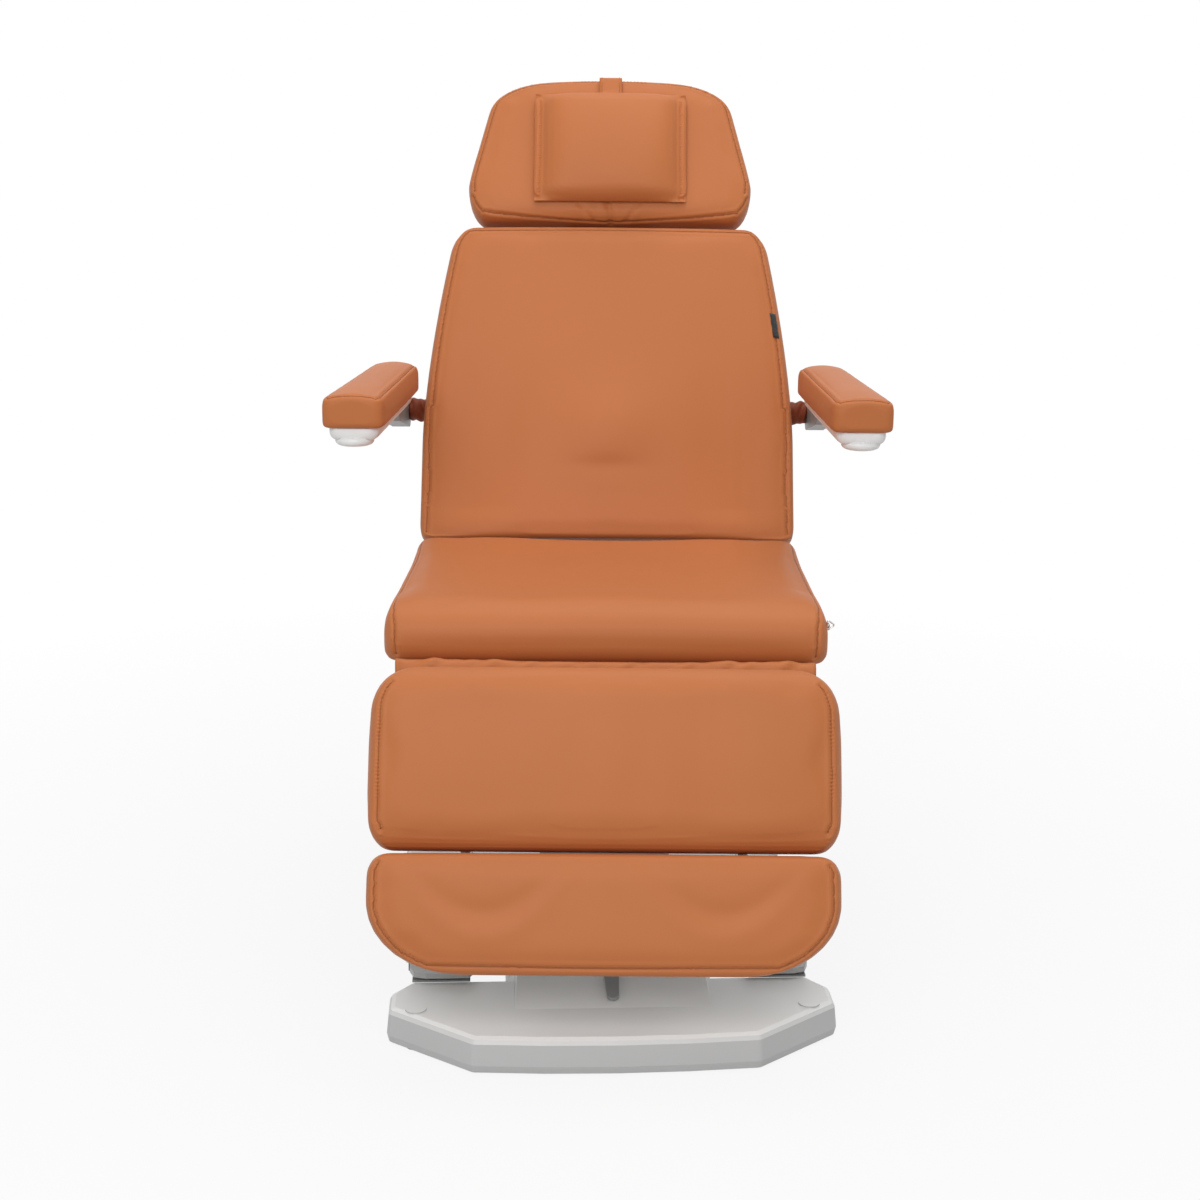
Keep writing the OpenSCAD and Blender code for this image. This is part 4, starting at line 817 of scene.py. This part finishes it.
def plain_piece(name, verts, faces, mat, body, nodes=(), place=None):
    """A visible piece on its body, in place of the named CAD nodes if there are any."""
    obj = add_mesh(name, verts, faces)
    if place:
        obj.data.transform(place)
    finish(obj, mat, body)
    if nodes:
        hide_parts(*nodes)
    return obj


def strip(path, half, thick, across=9, bulge=0.0, edge=lambda t: 1):
    """A closed band of cloth along [y, z] points, with a soft cross-section."""
    n = len(path)
    verts = []
    for i, (y, z) in enumerate(path):
        a, b = Vector(path[max(0, i - 1)]), Vector(path[min(n - 1, i + 1)])
        along = (b - a).normalized()
        out = Vector((-along.y, along.x))
        w = half * edge(i / (n - 1))
        for side, lift in ((1, 1), (-1, 0)):
            for k in range(across):
                u = (2 * k / (across - 1) - 1) * side
                rise = lift * (thick + bulge * (1 - u * u)) * (1 - 0.6 * u ** 8)
                q = Vector((y, z)) + out * rise
                verts.append((w * u, q.x, q.y))
    return verts, walls(n, 2 * across) + caps(n, 2 * across)


def bent(points, r, n=6):
    """A path through points with its corners rounded to r."""
    out = [points[0]]
    for a, b, c in zip(points, points[1:], points[2:]):
        a, b, c = Vector(a), Vector(b), Vector(c)
        p, q = b + (a - b).normalized() * r, b + (c - b).normalized() * r
        out += [tuple((1 - t) ** 2 * p + 2 * t * (1 - t) * b + t * t * q)
                for t in (k / n for k in range(n + 1))]
    out.append(points[-1])
    fine = []
    for a, b in zip(out, out[1:]):
        steps = max(1, int((Vector(b) - Vector(a)).length / PATH_STEP))
        fine += [tuple(Vector(a).lerp(Vector(b), k / steps)) for k in range(steps)]
    return fine + [out[-1]]


def boss(start):
    """The round domed cap under a tray's front end, its faces counted on from vertex start."""
    x, y = ARM_TOE + ARM_FRONT / 2, BOSS_R + BOSS_IN
    turns = [2 * math.pi * k / BOSS_SIDES for k in range(BOSS_SIDES)]
    verts = [(x + r * math.cos(a), y + r * math.sin(a), z) for r, z in BOSS_PROFILE for a in turns]
    rings = len(BOSS_PROFILE)
    faces = [(a, d, c, b) for a, b, c, d in walls(rings, BOSS_SIDES, start)]
    last = start + (rings - 1) * BOSS_SIDES
    faces += [tuple(range(start, start + BOSS_SIDES)), tuple(range(last, last + BOSS_SIDES))[::-1]]
    return verts, faces


def tray(side):
    """The moulded tray under an arm pad, round along its lower edge, with its boss."""
    name, length = side_name(side), ARM_LEN - 2 * TRAY_IN
    shell = {
        "length": length, "ends": ((0.001, 0.011), (0.001, 0.008)), "sides": (0.001, 0.012),
        "half": lambda y: arm_half(y) - TRAY_IN - corner(y, (0.016, 0.018))
        - corner(length - y, (0.01, 0.012)),
        "mid": lambda y: arm_half(y) + ARM_TOE * (1 - (y + TRAY_IN) / ARM_LEN),
        "top": lambda u, y: TRAY_T, "deep": 0.7,
    }
    verts, faces = pad_form(shell)
    verts = [(x, y + TRAY_IN, z) for x, y, z in verts]
    more, round_faces = boss(len(verts))
    verts, faces = verts + more, faces + round_faces
    if side < 0:
        faces = [f[::-1] for f in faces]
    plain_piece(name + "_tray_shell", verts, faces, SLOTS["white_plastic"],
                "arm_" + name, (name + "_arm_tray",), on_arm(side, ARM_H - ARM_T - TRAY_T))


def pillow_band():
    """The pillow's strap: up from its top seam, over the headrest and a little way down behind."""
    y0 = HEAD_START + PILLOW_START + PILLOW_LEN - STRAP_LAP
    y1 = HEAD_START + HEAD_LEN + SLIDE_GAP
    face, rear = BACK_DROP + SLIDE_GAP, BACK_DROP - HEAD_T - BOARD_T - SLIDE_GAP
    path = bent([(y0, face + STRAP_RISE), (y0 + STRAP_EASE, face + STRAP_LIES),
                 (y1, face + STRAP_OVER), (y1, rear), (y1 - STRAP_TAIL, rear)], STRAP_BEND)
    verts, faces = strip([(y, z) for y, z in reversed(path)], STRAP_W / 2, STRAP_T,
                         bulge=STRAP_BULGE, edge=lambda t: 1 + 0.03 * math.sin(9 * t))
    plain_piece("pillow_band", verts, faces, upholstery, "head", ("pillow_strap",),
                ON_BACK)
    out = Vector((0, 0, 1))
    for side in (-1, 1):
        line = [(Vector((side * (STRAP_W / 2 - STRAP_SEAM_IN), y, z)) + out * STRAP_SEAM_UP, out)
                for y, z in path if z > face - STRAP_SEAM_END]
        verts, faces = stitches(line, 0.0)
        plain_piece("pillow_band_thread_%d" % (side + 1), verts, faces, thread,
                    "head", place=ON_BACK)


def knee_cloth():
    """The loose flap under the seat's front edge, slumped forward and hung behind the calf rest."""
    y0, z0 = -SEAT_FRONT + FLAP_BEHIND, SEAT_H - SEAT_T - FLAP_BELOW
    verts = []
    for j in range(FLAP_ROWS + 1):
        t = j / FLAP_ROWS * (len(FLAP_PATH) - 1)
        k = min(int(t), len(FLAP_PATH) - 2)
        a, b = FLAP_PATH[k], FLAP_PATH[k + 1]
        f = t - k
        dy, dz = a[0] + (b[0] - a[0]) * f, a[1] + (b[1] - a[1]) * f
        loose = math.sin(math.pi * j / FLAP_ROWS)
        for i in range(FLAP_COLS + 1):
            u = 2 * i / FLAP_COLS - 1
            toward_side = min(1, max(0, (abs(u) - FLAP_SIDE_FROM) / FLAP_SIDE_OVER))
            full = FLAP_MIDDLE + (1 - FLAP_MIDDLE) * toward_side
            fold = sum(share * math.sin(u * waves + phase + drift * t)
                       for waves, phase, drift, share in FLAP_WAVES)
            y = y0 - dy * (0.75 + 0.25 * full) - WRINKLE_OUT * fold * loose
            z = z0 + dz * (0.7 + 0.3 * full) + WRINKLE_UP * fold * full * loose
            verts.append((FLAP_W / 2 * u, y, z))
    obj = plain_piece("knee_flap_cloth", verts, grid(FLAP_ROWS, FLAP_COLS), upholstery,
                      "seat", ("knee_flap",), Matrix.Translation((0, SWIVEL_Y, 0)))
    thickened(obj, FLAP_T)
    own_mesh(obj)


def sleeve_cloth(side):
    """The wrinkled cover of the armrest rod, from the backrest to the armrest's bracket."""
    x0, x1 = BACK_W / 2 - SLEEVE_IN, ARM_SPAN / 2 + SLEEVE_OUT
    verts = []
    for j in range(SLEEVE_RINGS + 1):
        t = j / SLEEVE_RINGS
        x = x0 + (x1 - x0) * t
        for k in range(SLEEVE_SIDES):
            a = 2 * math.pi * k / SLEEVE_SIDES
            r = (SLEEVE_R - SLEEVE_EASE + SLEEVE_TWIST * math.sin(3 * a + 9 * t)
                 + SLEEVE_RIPPLE * math.sin(17 * t + 2 * a + side))
            r -= SLEEVE_TUCK * hill(t, 0.06) + SLEEVE_TUCK * hill(t - 1, 0.06)
            verts.append((side * x, r * math.cos(a), r * math.sin(a)))
    size = SLEEVE_RINGS + 1, SLEEVE_SIDES
    faces = walls(*size) + caps(*size)
    return verts, [f[::-1] for f in faces] if side > 0 else faces


def rod_sleeves():
    """Both sleeves, as one piece on the rod's line."""
    (verts, faces), (more, more_faces) = [sleeve_cloth(side) for side in (-1, 1)]
    plain_piece("rod_sleeve_cloth", verts + more, faces + shifted(more_faces, len(verts)), sleeve,
                "back", ("rod_sleeves",),
                ON_BACK @ Matrix.Translation((0, ARM_ROD_Y, ARM_ROD_Z)))


def side_label(surface, place):
    """A plain woven tab sewn into the backrest's right seam, left without words."""
    verts = []
    for j in range(TAB_ROWS + 1):
        y = TAB_Y + TAB_LEN * j / TAB_ROWS
        for i in range(TAB_COLS + 1):
            x = back["half"](y) - TAB_IN - TAB_W * i / TAB_COLS
            point, normal = surface.nearest((x, y, BACK_T))
            lift = TAB_LIFT + TAB_LIFT * math.sin(math.pi * i / TAB_COLS)
            verts.append(point + normal * lift)
    obj = plain_piece("seam_tab", verts, grid(TAB_ROWS, TAB_COLS), label, "back",
                      ("side_tab",), place)
    thickened(obj, TAB_T, 0)


def ring_and_loop():
    """A bent-wire ring in a small loop of the cover, on the seat's right side."""
    path = []
    for a, b in zip(RING_CORNERS, RING_CORNERS[1:] + RING_CORNERS[:1]):
        path += [Vector(a).lerp(Vector(b), t) for t in RING_STEPS]
    path.append(path[0])
    verts, faces = tube([(q, Vector((0, -1, 0))) for q in path], RING_WIRE_R, RING_WIRE_SIDES)
    plain_piece("ring_wire", verts, faces, SLOTS["bright_steel"], "seat",
                ("d_ring",), Matrix.Translation((RING_X, SWIVEL_Y + RING_Y - RING_AHEAD, RING_Z)))
    verts, faces = strip(bent(LOOP_PATH, LOOP_BEND, LOOP_BENDS), LOOP_HALF, LOOP_T, across=5)
    turn = Matrix(((0, 1, 0, 0), (-1, 0, 0, 0), (0, 0, 1, 0), (0, 0, 0, 1)))
    plain_piece("ring_loop", verts, faces, upholstery, "seat",
                place=Matrix.Translation((RING_X, SWIVEL_Y + RING_Y, RING_Z + LOOP_UP)) @ turn)


back["extra"] = side_label
for spec in (seat, back, head, pillow, calf, foot, arm(-1), arm(1)):
    make_pad(spec)
for side in (-1, 1):
    tray(side)
pillow_band()
knee_cloth()
ring_and_loop()
rod_sleeves()


# Stage, light and camera

def area(name, place, size, power):
    """A rectangular lamp that points at the chair."""
    light = bpy.data.lights.new(name, "AREA")
    light.shape, light.size, light.size_y = "RECTANGLE", size[0], size[1]
    light.energy = power
    lamp = bpy.data.objects.new(name, light)
    lamp.location = place
    lamp.rotation_euler = (Vector(AIM) - Vector(place)).to_track_quat("-Z", "Y").to_euler()
    scene.collection.objects.link(lamp)


def seen_white(tree):
    """1 for rays from the camera, or by way of a mirror or glass, and 0 for light on the object."""
    path = tree.nodes.new("ShaderNodeLightPath")
    last = path.outputs["Is Camera Ray"]
    for name in ("Is Glossy Ray", "Is Transmission Ray"):
        either = tree.nodes.new("ShaderNodeMath")
        either.operation = "MAXIMUM"
        tree.links.new(last, either.inputs[0])
        tree.links.new(path.outputs[name], either.inputs[1])
        last = either.outputs["Value"]
    return last


def mixed(tree, share, first, second, output):
    """Sends the output from the first shader to the second, by share."""
    mix = tree.nodes.new("ShaderNodeMixShader")
    tree.links.new(share, mix.inputs["Fac"])
    tree.links.new(first, mix.inputs[1])
    tree.links.new(second, mix.inputs[2])
    tree.links.new(mix.outputs["Shader"], tree.nodes[output].inputs["Surface"])


def white_floor():
    """A floor as white as the backdrop, which keeps the shadow only near the chair."""
    h = FLOOR_HALF
    floor = add_mesh("floor", [(-h, -h, 0), (h, -h, 0), (h, h, 0), (-h, h, 0)], [(0, 1, 2, 3)],
                     smooth=False)
    mat = material("floor", (FLOOR_GREY,) * 3, 0.8)
    tree = mat.node_tree
    grain = texture(mat, "Noise", 40, Detail=3)
    bump(mat, (grain.outputs["Fac"], 0.03, 0.0005))
    near = tree.nodes.new("ShaderNodeTexGradient")
    near.gradient_type = "SPHERICAL"
    shrink = tree.nodes.new("ShaderNodeMapping")
    shrink.inputs["Scale"].default_value = (1 / SHADOW_REACH, 1 / SHADOW_REACH, 1)
    tree.links.new(tree.nodes["Place"].outputs["Object"], shrink.inputs["Vector"])
    tree.links.new(shrink.outputs["Vector"], near.inputs["Vector"])
    fade = tree.nodes.new("ShaderNodeMapRange")
    fade.inputs["To Min"].default_value, fade.inputs["To Max"].default_value = 1, FLOOR_WHITE
    tree.links.new(near.outputs["Fac"], fade.inputs["Value"])
    share = tree.nodes.new("ShaderNodeMath")
    share.operation = "MULTIPLY"
    tree.links.new(fade.outputs["Result"], share.inputs[0])
    tree.links.new(seen_white(tree), share.inputs[1])
    glow = tree.nodes.new("ShaderNodeEmission")
    mixed(tree, share.outputs["Value"], tree.nodes["Principled BSDF"].outputs["BSDF"],
          glow.outputs["Emission"], "Material Output")
    floor.data.materials.append(mat)


def studio():
    """Even light from all round, and a white backdrop for the camera."""
    world = bpy.data.worlds.new("studio")
    scene.world = world
    world.use_nodes = True
    tree = world.node_tree
    soft, white = tree.nodes["Background"], tree.nodes.new("ShaderNodeBackground")
    for sky, strength in ((soft, AMBIENT), (white, 1)):
        sky.inputs["Color"].default_value = (1, 1, 1, 1)
        sky.inputs["Strength"].default_value = strength
    mixed(tree, seen_white(tree), soft.outputs["Background"], white.outputs["Background"],
          "World Output")


def camera():
    """The photograph's own camera, as fitted."""
    data = bpy.data.cameras.new("camera")
    data.sensor_width, data.lens = SENSOR, LENS
    data.shift_x = PHOTO_SHIFT / PHOTO_W
    cam = bpy.data.objects.new("camera", data)
    cam.matrix_world = (Matrix.Translation((0, SWIVEL_Y - CAMERA_BACK, CAMERA_UP))
                        @ Matrix.Rotation(math.radians(90 - CAMERA_PITCH), 4, "X")
                        @ Matrix.Rotation(math.radians(CAMERA_ROLL), 4, "Z"))
    scene.collection.objects.link(cam)
    scene.camera = cam


white_floor()
studio()
for lamp in LAMPS:
    area(*lamp)
camera()
scene.view_settings.view_transform = "Standard"

# Finishes of the pieces that keep their CAD meshes, and the width of their rounded edges
pedal_plastic = plastic("pedal_plastic", (0.46, 0.465, 0.46), 0.34, 0.15)
FINISHES = {"base_cover": cover_plastic_painted_light, "hump_cover": cover_plastic_painted_light, "foot_caps": cover_plastic_painted_light,
            "left_pedal": pedal_plastic, "right_pedal": pedal_plastic}
ROUNDED = {"base_cover": 0.005, "hump_cover": 0.002, "back_shell": 0.006, "lock_lever": 0.0015,
           "left_arm_block": 0.003, "right_arm_block": 0.003, "control_box": 0.003}
ROUND_STEPS, SHARP = 3, math.radians(30)
slots = {part["node"]: part["material_slot"] for part in frame["record"]["subparts"]}

for name, obj in frame["nodes"].items():
    obj.data.materials.clear()
    obj.data.materials.append(FINISHES.get(name, SLOTS[slots[name]]))
    if name in ROUNDED:
        soft = obj.modifiers.new("rounding", "BEVEL")
        soft.width, soft.segments = ROUNDED[name], ROUND_STEPS
        soft.limit_method, soft.angle_limit = "ANGLE", SHARP
        soft.harden_normals = False
